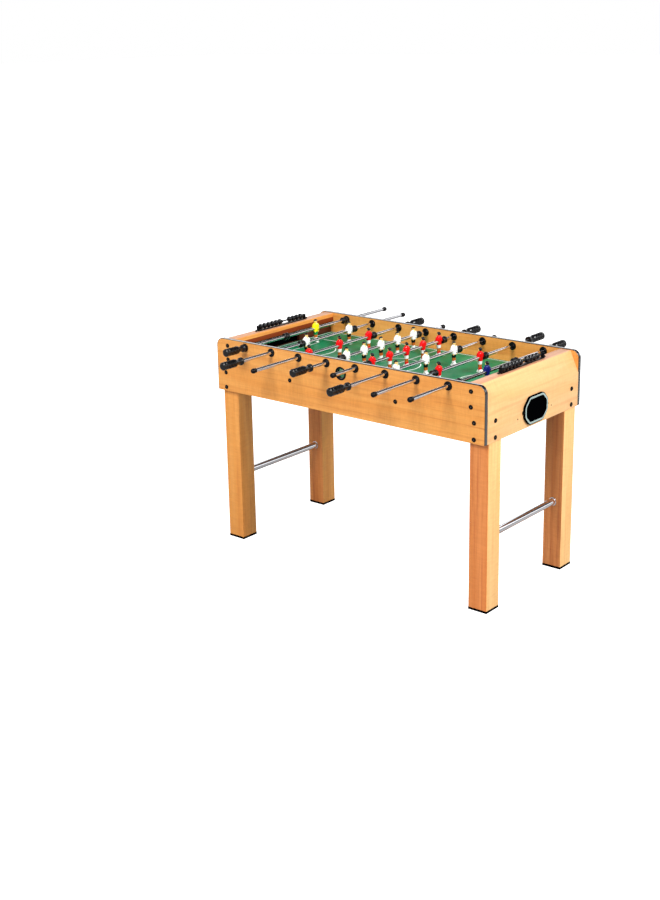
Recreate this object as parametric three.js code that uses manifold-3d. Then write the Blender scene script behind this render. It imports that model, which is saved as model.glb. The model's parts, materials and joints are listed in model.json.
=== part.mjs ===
// A four-foot foosball table: a box cabinet on four square legs, with eight sliding and turning rods.
// Millimetres, +Z up, +X along the playfield, -Y towards the side that the first player stands at.
// The origin is on the floor, under the middle of the outline that cabinet and rods make at rest.

import * as THREE from "three";
import { mergeVertices } from "three/addons/utils/BufferGeometryUtils.js";
import Module from "manifold-3d";

const wasm = await Module();
wasm.setup();

// ---------------------------------------------------------------- driving dimensions

const fitGap = 0.3; // clearance between two pieces that touch

// Cabinet
const tableLength = 1210; // over the end panels
const tableWidth = 612; // over the side panels
const tableHeight = 808; // floor to the top of the side panels
const sidePanelHeight = 202;
const sidePanelThickness = 15;
const panelCornerRadius = 30;
const edgeTrimThickness = 2;
const fieldBelowTop = 81; // top of the side panels down to the playing surface
const fieldThickness = 9;
const railThickness = 11; // support rail inside each side panel
const railHeight = 104;

// End hood: one folded board per end
const hoodThickness = 9;
const hoodCreaseAboveBottom = 123; // where the end face starts to slope inwards
const hoodSlopeIn = 34; // how far the slope leans in
const hoodTopWidth = 42; // flat strip that the score keeper stands on
const hoodTopBelowPanel = 2.5;
const hoodFasciaHeight = 33;

// Goal
const goalWallThickness = 12;
const goalWallInset = 14; // face of the hood's fascia back to the goal wall
const goalMouthWidth = 190;

// Legs
const legSize = 74;
const legWall = 9;
const legTopAboveCabinetBottom = 100;
const legBehindHood = 2.4; // hood's outer face back to the leg's, below the cabinet
const footHeight = 6;
const footPlugHeight = 14;
const crossBarDiameter = 25;
const crossBarHeight = 258;
const crossBarEntry = 8.4; // how far the bar goes into the leg's wall

// Ball return cup in each end, and the serving cup in the near side
const returnCupWidth = 150;
const returnCupHeight = 100;
const returnCupChamfer = 30;
const returnCupRim = 13; // from the frame's outline to the pocket's
const returnCupFlange = 2.5;
const returnCupDepth = 42;
const returnCupWall = 2;
const returnCupAboveBottom = 59; // cup centre above the bottom edge of the end panel
const returnCupEarRadius = 6;
const chuteHalfLength = 128;
const chuteRise = 30;
const chutePlate = 3;
const serveCupBelowTop = 50;
const serveBoreDiameter = 37;
const serveCupWall = 2;
const serveFlangeDiameter = 49;
const serveFlangeThickness = 2.5;

// Rods
const rodDiameter = 12.7;
const rodFromFascia = 70.5; // outermost rods to the hoods' fascias, so that the goalkeepers can turn
const rodBelowTop = 21;
const rodHoleDiameter = 20; // in the side panel, for the bushing's sleeve
const bushingFlangeInside = 3;
const bushingFlangeOutside = 4;
const bumperDiameter = 26;
const bumperLength = 24;
const bumperFromMan = 16; // outermost man's middle to the bumper's inner face
const bumperFromGoalie = 164; // the same on a goalie's rod, which has only one man
const stopGap = 0.5; // between bumper and bushing at the end of the travel
const handleDiameter = 29;
const handleLength = 101;
const handleCollarDiameter = 22;
const handleCollarLength = 14;
const handleGrooves = 4;
const handleGrooveDepth = 2;
const handleEdge = 3; // bevel at the grip's free end
const handleShoulder = 6; // taper from grip to collar
const handlePlainEnd = 16; // free end up to the first groove
const handleEngagement = 60; // length of rod inside the handle
const endCapDiameter = 17;
const endCapLength = 20;
const endCapWall = 4;
const endCapEdge = 3; // bevel at the closed end
const boreGap = 0.3; // between the rod and what is pushed onto it

// Men, measured from the rod's axis
const manHeadTop = 36;
const manHeadRadius = 7.5;
const manShoulderHeight = 20;
const manShoulderWidth = 25;
const manHipHeight = -14;
const manHipWidth = 20;
const manShoulderDrop = 6; // from the neck out to the shoulder
const manNeckSunk = 2; // how far the head's solid goes into the shoulders
const manDepth = 17;
const manLegWidth = 15;
const manLegDepth = 11;
const manFootLength = 22;
const manFootHeight = 14;
const footClearance = 6; // shoe to playing surface

// Score keeper on each end
const scoreRailSpan = 262; // between the posts
const scoreRailWidth = 14;
const scoreBaseThickness = 3;
const scorePostThickness = 6;
const scoreWireDiameter = 5;
const scoreBeadDiameter = 23;
const scoreBeadPitch = 22;
const scoreBeadGroove = 3.5;
const scorePostAboveWire = 4;

// The rods from the left end to the right: who is on them, whose they are, and where they stand.
// restOffset is the place of the middle of the men across the table. The spares are the bare rod
// left outside the table at full travel, on the handle's and on the cap's side.
const rods = [
  { men: 1, team: "yellow", side: "near", restOffset: 97.5, handleSpare: 1, capSpare: 42.5 },
  { men: 2, team: "white", side: "near", restOffset: 17, handleSpare: 49, capSpare: 56 },
  { men: 3, team: "red", side: "far", restOffset: -73, handleSpare: 37, capSpare: 94 },
  { men: 5, team: "white", side: "near", restOffset: 9.5, handleSpare: 43.5, capSpare: 51 },
  { men: 5, team: "red", side: "far", restOffset: -8, handleSpare: 11, capSpare: 72.5 },
  { men: 3, team: "white", side: "near", restOffset: -70, handleSpare: 50, capSpare: 66 },
  { men: 2, team: "red", side: "far", restOffset: -49, handleSpare: 17, capSpare: 66 },
  { men: 1, team: "blue", side: "far", restOffset: -76, handleSpare: 1, capSpare: 38.5 },
];
const menSpacing = { 1: 0, 2: 254, 3: 174, 5: 101 }; // by the number of men
// Beads in each stack, and the gap left before the first stack and after the last.
const scoreBeads = {
  left: { nearBeads: 6, farBeads: 4, nearGap: 4, farGap: 4 },
  right: { nearBeads: 6, farBeads: 4, nearGap: 1, farGap: 20 },
};

// ---------------------------------------------------------------- places worked out from them

const halfLength = tableLength / 2;
const halfWidth = tableWidth / 2;
const innerHalfWidth = halfWidth - sidePanelThickness;
const cabinetBottom = tableHeight - sidePanelHeight;
const fieldTop = tableHeight - fieldBelowTop;
const fieldBottom = fieldTop - fieldThickness;
const hoodTop = tableHeight - hoodTopBelowPanel;
const hoodInner = halfLength - hoodThickness;
const fasciaX = halfLength - hoodSlopeIn - hoodTopWidth;
const fasciaBottom = hoodTop - hoodFasciaHeight;
const goalWallX = fasciaX + goalWallInset;
const goalWallOuterX = goalWallX + goalWallThickness;
const railEndX = hoodInner - fitGap;
const legOuterX = halfLength - legBehindHood;
const legRebate = legOuterX - railEndX;
const legOuterY = innerHalfWidth - railThickness - 2 * fitGap;
const legX = legOuterX - legSize / 2;
const legY = legOuterY - legSize / 2;
const legTop = cabinetBottom + legTopAboveCabinetBottom;
const railTop = fieldBottom - fitGap;
const rodZ = tableHeight - rodBelowTop;
const rodSpacing = (2 * (fasciaX - rodFromFascia)) / (rods.length - 1);
const rodRadius = rodDiameter / 2;
const manFootBottom = fieldTop + footClearance - rodZ;
const returnCupZ = cabinetBottom + returnCupAboveBottom;
const serveCupZ = tableHeight - serveCupBelowTop;

const smooth = 16; // sides of a round piece that is seen
const plain = 10; // sides of a small round piece

// ---------------------------------------------------------------- materials

const finish = (color, roughness, metalness = 0) =>
  new THREE.MeshStandardMaterial({ color, roughness, metalness });
const mapleLaminate = finish(0xe9b46c, 0.45);
const paleLaminate = finish(0xf6d795, 0.45);
const darkLaminate = finish(0x6e2f18, 0.55);
const greenField = finish(0x12683c, 0.35);
const blackPlastic = finish(0x141416, 0.4);
const blackRubber = finish(0x0e0e10, 0.75);
const greyPlastic = finish(0x9aaea8, 0.4);
const chromedSteel = finish(0xc9ccd0, 0.15, 1);
const shirts = {
  yellow: finish(0xf1d92b, 0.4),
  white: finish(0xf2f1ee, 0.4),
  red: finish(0xcf1d1d, 0.4),
  blue: finish(0x20307f, 0.4),
};

// ---------------------------------------------------------------- shape helpers

// A three.js geometry as a solid that can be joined and cut.
function solidOf(geometry) {
  const bare = geometry.index ? geometry.toNonIndexed() : geometry.clone();
  bare.deleteAttribute("normal");
  bare.deleteAttribute("uv");
  const merged = mergeVertices(bare, 1e-4);
  return new wasm.Manifold(
    new wasm.Mesh({
      numProp: 3,
      vertProperties: new Float32Array(merged.getAttribute("position").array),
      triVerts: new Uint32Array(merged.index.array),
    }),
  );
}

// The solid back as a three.js geometry.
function geometryOf(solid) {
  const mesh = solid.getMesh();
  const geometry = new THREE.BufferGeometry();
  geometry.setAttribute(
    "position",
    new THREE.BufferAttribute(new Float32Array(mesh.vertProperties), 3),
  );
  geometry.setIndex(new THREE.BufferAttribute(new Uint32Array(mesh.triVerts), 1));
  geometry.computeVertexNormals();
  return geometry;
}

const join = (...geometries) =>
  geometryOf(geometries.map(solidOf).reduce((whole, piece) => whole.add(piece)));
const cut = (geometry, ...tools) =>
  geometryOf(tools.map(solidOf).reduce((rest, tool) => rest.subtract(tool), solidOf(geometry)));

// A box between two corners.
function block([x0, y0, z0], [x1, y1, z1]) {
  const box = new THREE.BoxGeometry(x1 - x0, y1 - y0, z1 - z0);
  return box.translate((x0 + x1) / 2, (y0 + y1) / 2, (z0 + z1) / 2);
}

// An outline drawn in X and Z, as thick as y0 to y1.
function plateAcross(shape, y0, y1, curveSegments = 6) {
  const plate = new THREE.ExtrudeGeometry(shape, {
    depth: y1 - y0,
    bevelEnabled: false,
    curveSegments,
  });
  return plate.rotateX(Math.PI / 2).translate(0, y1, 0);
}

// An outline drawn in Y and Z, as thick as x0 to x1.
function plateAlong(shape, x0, x1) {
  const plate = new THREE.ExtrudeGeometry(shape, { depth: x1 - x0, bevelEnabled: false });
  return plate.rotateX(Math.PI / 2).rotateZ(Math.PI / 2).translate(x0, 0, 0);
}

// A turned piece on a line along Y: profile holds [radius, y] pairs from one end to the other.
function turned(profile, sides = plain) {
  const points = profile.map(([radius, y]) => new THREE.Vector2(radius, y));
  return new THREE.LatheGeometry(points, sides);
}

const roundBar = (radius, y0, y1, sides = plain) =>
  turned([[0, y0], [radius, y0], [radius, y1], [0, y1]], sides);

const outlineOf = (corners) => new THREE.Shape(corners.map(([a, b]) => new THREE.Vector2(a, b)));

// A rectangle with its four corners cut off, centred on (a, b).
function chamferedOutline(width, height, chamfer, a = 0, b = 0) {
  const [w, h] = [width / 2, height / 2];
  const quarter = [[w, h - chamfer], [w - chamfer, h]];
  const corners = [[1, 1], [-1, 1], [-1, -1], [1, -1]].flatMap(([sa, sb], turn) => {
    const pair = quarter.map(([x, y]) => [a + sa * x, b + sb * y]);
    return turn % 2 ? pair.reverse() : pair;
  });
  return outlineOf(corners);
}

const table = new THREE.Group();
table.name = "foosball_table";

function place(name, geometry, material, parent = table) {
  const mesh = new THREE.Mesh(geometry, material);
  mesh.name = name;
  parent.add(mesh);
  return mesh;
}

// Both ends of the table, and both long sides: a name and the direction it lies in.
const ends = [["left", -1], ["right", 1]];
const sides = [["near", -1], ["far", 1]];

// A piece drawn for the right-hand end, turned half round for the left-hand one.
function placeAtEnd(name, geometry, material, direction) {
  const mesh = place(name, geometry, material);
  if (direction < 0) mesh.rotation.z = Math.PI;
  return mesh;
}

// ---------------------------------------------------------------- cabinet

// The side panel's outline in X and Z, drawn inwards by inset, with its two top corners rounded.
function panelCorners(inset, arcSteps = 8) {
  const radius = panelCornerRadius - inset;
  const x = halfLength - inset;
  const top = tableHeight - inset;
  const arc = [];
  for (let i = 0; i <= arcSteps; i++) {
    const angle = (i / arcSteps) * (Math.PI / 2);
    arc.push([x - radius + radius * Math.cos(angle), top - radius + radius * Math.sin(angle)]);
  }
  const mirrored = arc.map(([a, b]) => [-a, b]).reverse();
  return [[x, cabinetBottom], ...arc, ...mirrored, [-x, cabinetBottom]];
}

const rodX = (i) => (i - (rods.length - 1) / 2) * rodSpacing;

// A round hole as a polygon whose flats lie on the circle, so that a round piece of that size still passes.
function roundHole(x, z, radius, count = plain) {
  const cornerRadius = radius / Math.cos(Math.PI / count);
  const corners = Array.from({ length: count }, (_, i) => {
    const angle = (-2 * Math.PI * i) / count;
    return new THREE.Vector2(x + cornerRadius * Math.cos(angle), z + cornerRadius * Math.sin(angle));
  });
  return new THREE.Path(corners);
}

function sidePanel(direction) {
  const shape = outlineOf(panelCorners(edgeTrimThickness + fitGap));
  rods.forEach((rod, i) => shape.holes.push(roundHole(rodX(i), rodZ, rodHoleDiameter / 2)));
  if (direction < 0) {
    const sleeveRadius = serveBoreDiameter / 2 + serveCupWall;
    shape.holes.push(roundHole(0, serveCupZ, sleeveRadius + fitGap, smooth));
  }
  const [inside, outside] = [direction * innerHalfWidth, direction * halfWidth];
  return plateAcross(shape, Math.min(inside, outside), Math.max(inside, outside));
}

// The moulding that covers the panel's top edge and its two ends.
function edgeTrim(direction) {
  const outer = panelCorners(0);
  const inner = panelCorners(edgeTrimThickness).reverse();
  const [inside, outside] = [direction * innerHalfWidth, direction * halfWidth];
  const outline = outlineOf([...outer, ...inner]);
  return plateAcross(outline, Math.min(inside, outside), Math.max(inside, outside));
}

for (const [side, direction] of sides) {
  place(`side_panel_${side}`, sidePanel(direction), mapleLaminate);
  place(`edge_trim_${side}`, edgeTrim(direction), blackPlastic);
}

// The hood's cross-section: end face, slope, top strip and fascia, one board thick.
function hoodSection() {
  const line = [
    [halfLength, cabinetBottom],
    [halfLength, cabinetBottom + hoodCreaseAboveBottom],
    [halfLength - hoodSlopeIn, hoodTop],
    [fasciaX, hoodTop],
    [fasciaX, fasciaBottom],
  ].map(([x, z]) => new THREE.Vector2(x, z));
  // Each inner corner lies on the bisector of the two faces that meet at the outer one.
  const inner = line.map((point, i) => {
    const before = i > 0 ? point.clone().sub(line[i - 1]).normalize() : null;
    const after = i < line.length - 1 ? line[i + 1].clone().sub(point).normalize() : null;
    const inwards = (along) => new THREE.Vector2(-along.y, along.x);
    const first = inwards(before ?? after);
    const second = inwards(after ?? before);
    const bisector = first.clone().add(second);
    return point.clone().addScaledVector(bisector, (2 * hoodThickness) / bisector.lengthSq());
  });
  return new THREE.Shape([...line, ...inner.reverse()]);
}

const pocketWidth = returnCupWidth - 2 * returnCupRim;
const pocketHeight = returnCupHeight - 2 * returnCupRim;
const pocketChamfer = returnCupChamfer - returnCupRim * (2 - Math.SQRT2);
const cupOutline = (grow) =>
  chamferedOutline(
    pocketWidth + 2 * grow,
    pocketHeight + 2 * grow,
    pocketChamfer + grow * (2 - Math.SQRT2),
    0,
    returnCupZ,
  );

function endHood() {
  const halfBoard = innerHalfWidth - fitGap;
  const board = plateAcross(hoodSection(), -halfBoard, halfBoard);
  const window = plateAlong(cupOutline(returnCupWall + fitGap), hoodInner - 1, halfLength + 1);
  return cut(board, window);
}

// The board at the end of the playfield, with the goal mouth in it.
function goalWall() {
  const half = innerHalfWidth - fitGap;
  const top = hoodTop - hoodThickness - fitGap;
  const shape = outlineOf([[-half, fieldBottom], [half, fieldBottom], [half, top], [-half, top]]);
  const mouth = [
    [-goalMouthWidth / 2, fieldTop],
    [-goalMouthWidth / 2, fasciaBottom],
    [goalMouthWidth / 2, fasciaBottom],
    [goalMouthWidth / 2, fieldTop],
  ];
  shape.holes.push(new THREE.Path(mouth.map(([y, z]) => new THREE.Vector2(y, z))));
  return plateAlong(shape, goalWallX, goalWallOuterX);
}

// The cup that the ball comes out of: a frame, two ears, and a pocket that is open to the chute above.
function returnCup() {
  const frameOutline = chamferedOutline(
    returnCupWidth,
    returnCupHeight,
    returnCupChamfer,
    0,
    returnCupZ,
  );
  const frameX = halfLength + fitGap;
  const frameFront = frameX + returnCupFlange;
  const backX = halfLength - returnCupDepth;
  const ears = [-1, 1].map((side) => {
    const ear = new THREE.Shape();
    ear.absarc(side * (returnCupWidth / 2), returnCupZ, returnCupEarRadius, 0, 2 * Math.PI, false);
    return plateAlong(ear, frameX, frameFront);
  });
  const whole = join(
    plateAlong(frameOutline, frameX, frameFront),
    plateAlong(cupOutline(returnCupWall), backX, frameFront),
    ...ears,
  );
  const pocket = plateAlong(cupOutline(0), backX + returnCupWall, frameFront + 1);
  const dropHalf = pocketWidth / 2 - pocketChamfer;
  const drop = block(
    [backX + returnCupWall, -dropHalf, returnCupZ],
    [hoodInner - fitGap, dropHalf, returnCupZ + returnCupHeight],
  );
  return cut(whole, pocket, drop);
}

// The chute behind the goal: a back wall, and two ramps that lead down to the cup from both sides.
function ballChute() {
  const wallX = goalWallOuterX + fitGap;
  const cupEdge = pocketWidth / 2 + returnCupWall + fitGap;
  const cupTop = returnCupZ + pocketHeight / 2;
  const wallBottom = cupTop - pocketHeight;
  const backFace = wallX + chutePlate;
  const back = block([wallX, -chuteHalfLength, wallBottom], [backFace, chuteHalfLength, railTop]);
  const ramps = [-1, 1].map((side) => {
    const section = [
      [side * chuteHalfLength, cupTop - chutePlate],
      [side * chuteHalfLength, cupTop],
      [side * cupEdge, cupTop - chuteRise],
      [side * cupEdge, cupTop - chuteRise - chutePlate],
    ];
    const ramp = outlineOf(side > 0 ? section : section.reverse());
    return plateAlong(ramp, wallX, hoodInner - fitGap);
  });
  return join(back, ...ramps);
}

for (const [end, direction] of ends) {
  placeAtEnd(`end_hood_${end}`, endHood(), paleLaminate, direction);
  placeAtEnd(`goal_wall_${end}`, goalWall(), darkLaminate, direction);
  placeAtEnd(`return_cup_${end}`, returnCup(), greyPlastic, direction);
  placeAtEnd(`ball_chute_${end}`, ballChute(), blackPlastic, direction);
}

const fieldHalfLength = goalWallX - fitGap;
const fieldHalfWidth = innerHalfWidth - fitGap;
place(
  "playfield",
  block(
    [-fieldHalfLength, -fieldHalfWidth, fieldBottom],
    [fieldHalfLength, fieldHalfWidth, fieldTop],
  ),
  greenField,
);

for (const [side, direction] of sides) {
  const [outer, inner] = [innerHalfWidth - fitGap, innerHalfWidth - fitGap - railThickness];
  const rail = block(
    [-railEndX, inner, railTop - railHeight],
    [railEndX, outer, railTop],
  );
  const mesh = place(`support_rail_${side}`, rail, mapleLaminate);
  if (direction < 0) mesh.rotation.z = Math.PI;
}

// The sleeve in the near side that a ball is served through.
function serveCup() {
  const bore = serveBoreDiameter / 2;
  const sleeve = bore + serveCupWall;
  const flangeBack = -halfWidth - fitGap;
  const flangeFront = flangeBack - serveFlangeThickness;
  const insideEnd = -innerHalfWidth;
  return turned(
    [
      [bore, flangeFront],
      [serveFlangeDiameter / 2, flangeFront],
      [serveFlangeDiameter / 2, flangeBack],
      [sleeve, flangeBack],
      [sleeve, insideEnd],
      [bore, insideEnd],
      [bore, flangeFront],
    ],
    smooth,
  );
}
place("serve_cup", serveCup(), blackPlastic).position.z = serveCupZ;

// ---------------------------------------------------------------- legs

// A square tube, with a hole in its inner wall for the cross bar. Inside the cabinet it is rebated
// on one side (1 is +X, -1 is -X), so that below it stands almost flush with the end board.
function leg(rebatedSide) {
  const half = legSize / 2;
  const hollow = half - legWall;
  const post = block([-half, -half, footHeight + fitGap], [half, half, legTop]);
  const inside = block([-hollow, -hollow, 0], [hollow, hollow, legTop + 1]);
  const socketEnd = -half + crossBarEntry + fitGap;
  const socket = roundBar(crossBarDiameter / 2 + fitGap, -half - 1, socketEnd, smooth);
  const [x0, x1] = [half - legRebate, half + 1].map((x) => rebatedSide * x).sort((a, b) => a - b);
  const rebate = block([x0, -half - 1, cabinetBottom - fitGap], [x1, half + 1, legTop + 1]);
  return cut(post, inside, socket.translate(0, 0, crossBarHeight), rebate);
}

// The plastic shoe: a flat plate, and a plug that goes up inside the leg.
function foot() {
  const half = legSize / 2;
  const plug = half - legWall - fitGap;
  return join(
    block([-half, -half, 0], [half, half, footHeight]),
    block([-plug, -plug, 0], [plug, plug, footHeight + footPlugHeight]),
  );
}

for (const [end, alongX] of ends) {
  for (const [side, alongY] of sides) {
    const corner = new THREE.Group();
    corner.position.set(alongX * legX, alongY * legY, 0);
    if (alongY < 0) corner.rotation.z = Math.PI;
    table.add(corner);
    place(`leg_${side}_${end}`, leg(alongX * alongY), mapleLaminate, corner);
    place(`foot_${side}_${end}`, foot(), blackPlastic, corner);
  }
  const reach = legY - legSize / 2 + crossBarEntry;
  const bar = roundBar(crossBarDiameter / 2, -reach, reach, smooth);
  place(`cross_bar_${end}`, bar, chromedSteel).position.set(alongX * legX, 0, crossBarHeight);
}

// ---------------------------------------------------------------- rods

// One man, facing +X, with the rod's axis along Y at his origin.
function man() {
  const shoe = [
    [-manLegDepth / 2, manFootBottom + manFootHeight],
    [-manFootLength / 2, manFootBottom],
    [manFootLength / 2, manFootBottom],
    [manLegDepth / 2, manFootBottom + manFootHeight],
    [manDepth / 2, manHipHeight],
    [-manDepth / 2, manHipHeight],
  ];
  const torso = [
    [-manHipWidth / 2, manHipHeight],
    [manHipWidth / 2, manHipHeight],
    [manShoulderWidth / 2, manShoulderHeight - manShoulderDrop],
    [manShoulderWidth / 4, manShoulderHeight],
    [-manShoulderWidth / 4, manShoulderHeight],
    [-manShoulderWidth / 2, manShoulderHeight - manShoulderDrop],
  ];
  const neck = manShoulderHeight - manNeckSunk;
  const crown = manHeadRadius * 0.7;
  const head = new THREE.CylinderGeometry(crown, manHeadRadius, manHeadTop - neck, 8);
  head.rotateX(Math.PI / 2).translate(0, 0, (manHeadTop + neck) / 2);
  const legs = plateAcross(outlineOf(shoe), -manLegWidth / 2, manLegWidth / 2);
  return join(legs, plateAlong(outlineOf(torso), -manDepth / 2, manDepth / 2), head);
}

// The rod's own measures, with its handle towards -Y: how far it travels, and how far each end reaches.
function rodMeasures({ men, handleSpare, capSpare }) {
  const spacing = menSpacing[men];
  const menReach = ((men - 1) / 2) * spacing;
  const bumperInner = menReach + (men === 1 ? bumperFromGoalie : bumperFromMan);
  const bumperOuter = bumperInner + bumperLength;
  const travel = innerHalfWidth - bushingFlangeInside - stopGap - bumperOuter;
  const bushingFace = halfWidth + bushingFlangeOutside;
  const handleReach = bushingFace + travel + handleSpare + handleLength;
  const capReach = bushingFace + travel + capSpare;
  return { spacing, menReach, bumperInner, bumperOuter, travel, handleReach, capReach };
}

// The bar with its men and its two bumpers.
function rodWithMen(rod) {
  const { spacing, menReach, bumperInner, bumperOuter, handleReach, capReach } = rodMeasures(rod);
  const barStart = -handleReach + handleLength - handleEngagement;
  const pieces = [roundBar(rodRadius, barStart, capReach - endCapWall)];
  for (const side of [-1, 1]) {
    const ring = [side * bumperInner, side * bumperOuter].sort((a, b) => a - b);
    pieces.push(roundBar(bumperDiameter / 2, ...ring));
  }
  for (let i = 0; i < rod.men; i++) pieces.push(man().translate(0, i * spacing - menReach, 0));
  return join(...pieces);
}

// A grip with round grooves, a collar where the rod comes out, and a blind bore.
function handle(rod) {
  const { handleReach } = rodMeasures(rod);
  const end = -handleReach;
  const mouth = end + handleLength;
  const gripEnd = mouth - handleCollarLength;
  const radius = handleDiameter / 2;
  const bore = rodRadius + boreGap;
  const profile = [[0, end], [radius - handleEdge, end], [radius, end + handleEdge]];
  const firstGroove = end + handlePlainEnd;
  const pitch = (gripEnd - handleShoulder - firstGroove) / handleGrooves;
  for (let i = 0; i < handleGrooves; i++) {
    const y = firstGroove + i * pitch;
    profile.push([radius, y], [radius - handleGrooveDepth, y + pitch / 2]);
  }
  profile.push(
    [radius, gripEnd - handleShoulder],
    [handleCollarDiameter / 2, gripEnd],
    [handleCollarDiameter / 2, mouth],
    [bore, mouth],
    [bore, mouth - handleEngagement - boreGap],
    [0, mouth - handleEngagement - boreGap],
  );
  return turned(profile);
}

// A cup pushed over the rod's free end. Its bore's flats clear the rod, so that the rod turns in it.
function endCap(rod) {
  const { capReach } = rodMeasures(rod);
  const radius = endCapDiameter / 2;
  const bore = (rodRadius + boreGap) / Math.cos(Math.PI / plain);
  const bottom = capReach - endCapWall + boreGap;
  const mouth = capReach - endCapLength;
  return turned([
    [0, bottom],
    [bore, bottom],
    [bore, mouth],
    [radius, mouth],
    [radius, capReach - endCapEdge],
    [radius - endCapEdge, capReach],
    [0, capReach],
  ]);
}

rods.forEach((rod, i) => {
  const group = new THREE.Group();
  group.position.set(rodX(i), rod.restOffset, rodZ);
  if (rod.side === "far") group.rotation.z = Math.PI;
  table.add(group);
  const number = i + 1;
  place(`rod_${number}_${rod.team}_men`, rodWithMen(rod), shirts[rod.team], group);
  place(`handle_${number}`, handle(rod), blackRubber, group);
  place(`end_cap_${number}`, endCap(rod), blackPlastic, group);
});

// ---------------------------------------------------------------- score keepers

const scoreX = fasciaX + hoodTopWidth / 2;
const scoreBaseTop = hoodTop + fitGap + scoreBaseThickness;
const scoreWireZ = scoreBaseTop + fitGap + scoreBeadDiameter / 2;
const scorePostTop = scoreWireZ + scoreWireDiameter / 2 + scorePostAboveWire;

// The base, its two posts, and the wire that the beads slide on.
function scoreRail() {
  const half = scoreRailSpan / 2;
  const outer = half + scorePostThickness;
  const w = scoreRailWidth / 2;
  const base = block([-w, -outer, hoodTop + fitGap], [w, outer, scoreBaseTop]);
  const posts = [-1, 1].map((side) => {
    const [y0, y1] = [side * half, side * outer].sort((a, b) => a - b);
    return block([-w, y0, hoodTop + fitGap], [w, y1, scorePostTop]);
  });
  const wire = roundBar(scoreWireDiameter / 2, -half - 1, half + 1, 10).translate(0, 0, scoreWireZ);
  return join(base, ...posts, wire);
}

// A row of beads that are pushed along together, with a groove between each and the next.
function beadStack(count) {
  const radius = scoreBeadDiameter / 2;
  const bore = scoreWireDiameter / 2 + boreGap;
  const profile = [[bore, 0]];
  for (let i = 0; i < count; i++) {
    const start = i * scoreBeadPitch;
    const end = start + scoreBeadPitch;
    profile.push([radius - scoreBeadGroove, start], [radius, start + scoreBeadGroove]);
    profile.push([radius, end - scoreBeadGroove]);
  }
  const length = count * scoreBeadPitch;
  profile.push([radius - scoreBeadGroove, length], [bore, length], [bore, 0]);
  return turned(profile, 10);
}

for (const [end, direction] of ends) {
  const { nearBeads, farBeads, nearGap, farGap } = scoreBeads[end];
  place(`score_rail_${end}`, scoreRail(), blackPlastic).position.x = direction * scoreX;
  const near = place(`score_beads_${end}_near`, beadStack(nearBeads), blackPlastic);
  near.position.set(direction * scoreX, -scoreRailSpan / 2 + nearGap, scoreWireZ);
  const far = place(`score_beads_${end}_far`, beadStack(farBeads), blackPlastic);
  const farStart = scoreRailSpan / 2 - farGap - farBeads * scoreBeadPitch;
  far.position.set(direction * scoreX, farStart, scoreWireZ);
}

// ---------------------------------------------------------------- the part's frame

// How far the outline reaches towards +Y (1) or -Y (-1) with the rods at rest.
function outlineReach(direction) {
  const reaches = rods.map((rod) => {
    const { handleReach, capReach } = rodMeasures(rod);
    const handleDirection = rod.side === "near" ? -1 : 1;
    return direction * rod.restOffset + (direction === handleDirection ? handleReach : capReach);
  });
  return Math.max(halfWidth, ...reaches);
}
table.position.y = (outlineReach(-1) - outlineReach(1)) / 2;

const part = new THREE.Group();
part.add(table);
export default part;
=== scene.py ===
# %% [markdown]
# # A foosball table
# The table is a box cabinet on four square legs. Eight chromed rods cross it, and each carries
# painted players, two rubber bumpers, a grip at one end and a cap at the other. This lesson starts
# from the measured model, keeps its sizes and places, and gives every piece its shape and finish.

# %% Load the measured model
import json
import math

import bmesh
import bpy
from mathutils import Matrix, Vector

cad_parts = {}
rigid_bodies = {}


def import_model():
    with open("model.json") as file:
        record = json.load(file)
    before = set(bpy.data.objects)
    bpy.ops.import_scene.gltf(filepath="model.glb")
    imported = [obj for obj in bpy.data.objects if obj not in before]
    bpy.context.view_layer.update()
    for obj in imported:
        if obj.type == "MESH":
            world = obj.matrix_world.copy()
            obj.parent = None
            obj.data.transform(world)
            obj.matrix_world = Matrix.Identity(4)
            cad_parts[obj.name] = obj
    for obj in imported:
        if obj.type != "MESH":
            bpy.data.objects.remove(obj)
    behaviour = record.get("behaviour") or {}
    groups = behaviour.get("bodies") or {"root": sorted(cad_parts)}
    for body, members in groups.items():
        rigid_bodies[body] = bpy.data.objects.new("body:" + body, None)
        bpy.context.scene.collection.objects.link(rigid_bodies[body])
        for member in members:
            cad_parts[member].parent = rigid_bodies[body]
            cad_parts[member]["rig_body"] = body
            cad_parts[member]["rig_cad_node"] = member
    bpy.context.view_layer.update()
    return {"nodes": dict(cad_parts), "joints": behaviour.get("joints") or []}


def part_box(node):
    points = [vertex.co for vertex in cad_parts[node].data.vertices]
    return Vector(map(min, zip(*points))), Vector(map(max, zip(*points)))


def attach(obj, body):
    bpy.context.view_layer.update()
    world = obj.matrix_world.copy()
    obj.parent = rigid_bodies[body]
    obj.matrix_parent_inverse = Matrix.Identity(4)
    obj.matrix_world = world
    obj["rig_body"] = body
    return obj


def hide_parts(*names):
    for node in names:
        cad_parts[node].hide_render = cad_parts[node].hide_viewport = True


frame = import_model()
nodes = frame["nodes"]
joints = {joint["name"]: joint for joint in frame["joints"]}

# %% [markdown]
# ## Places that everything else is measured from
# A Blender scene counts in metres, and a joiner counts in millimetres, so one small function turns
# a list of millimetres into metres. The cabinet's corners and the height of the field come from
# the measured pieces, so that nothing made below can drift away from them.

# %% The cabinet's own measures


def mm(*values):
    """Millimetres as metres: one number alone, or several as a vector."""
    return values[0] / 1000 if len(values) == 1 else Vector([value / 1000 for value in values])


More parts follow.
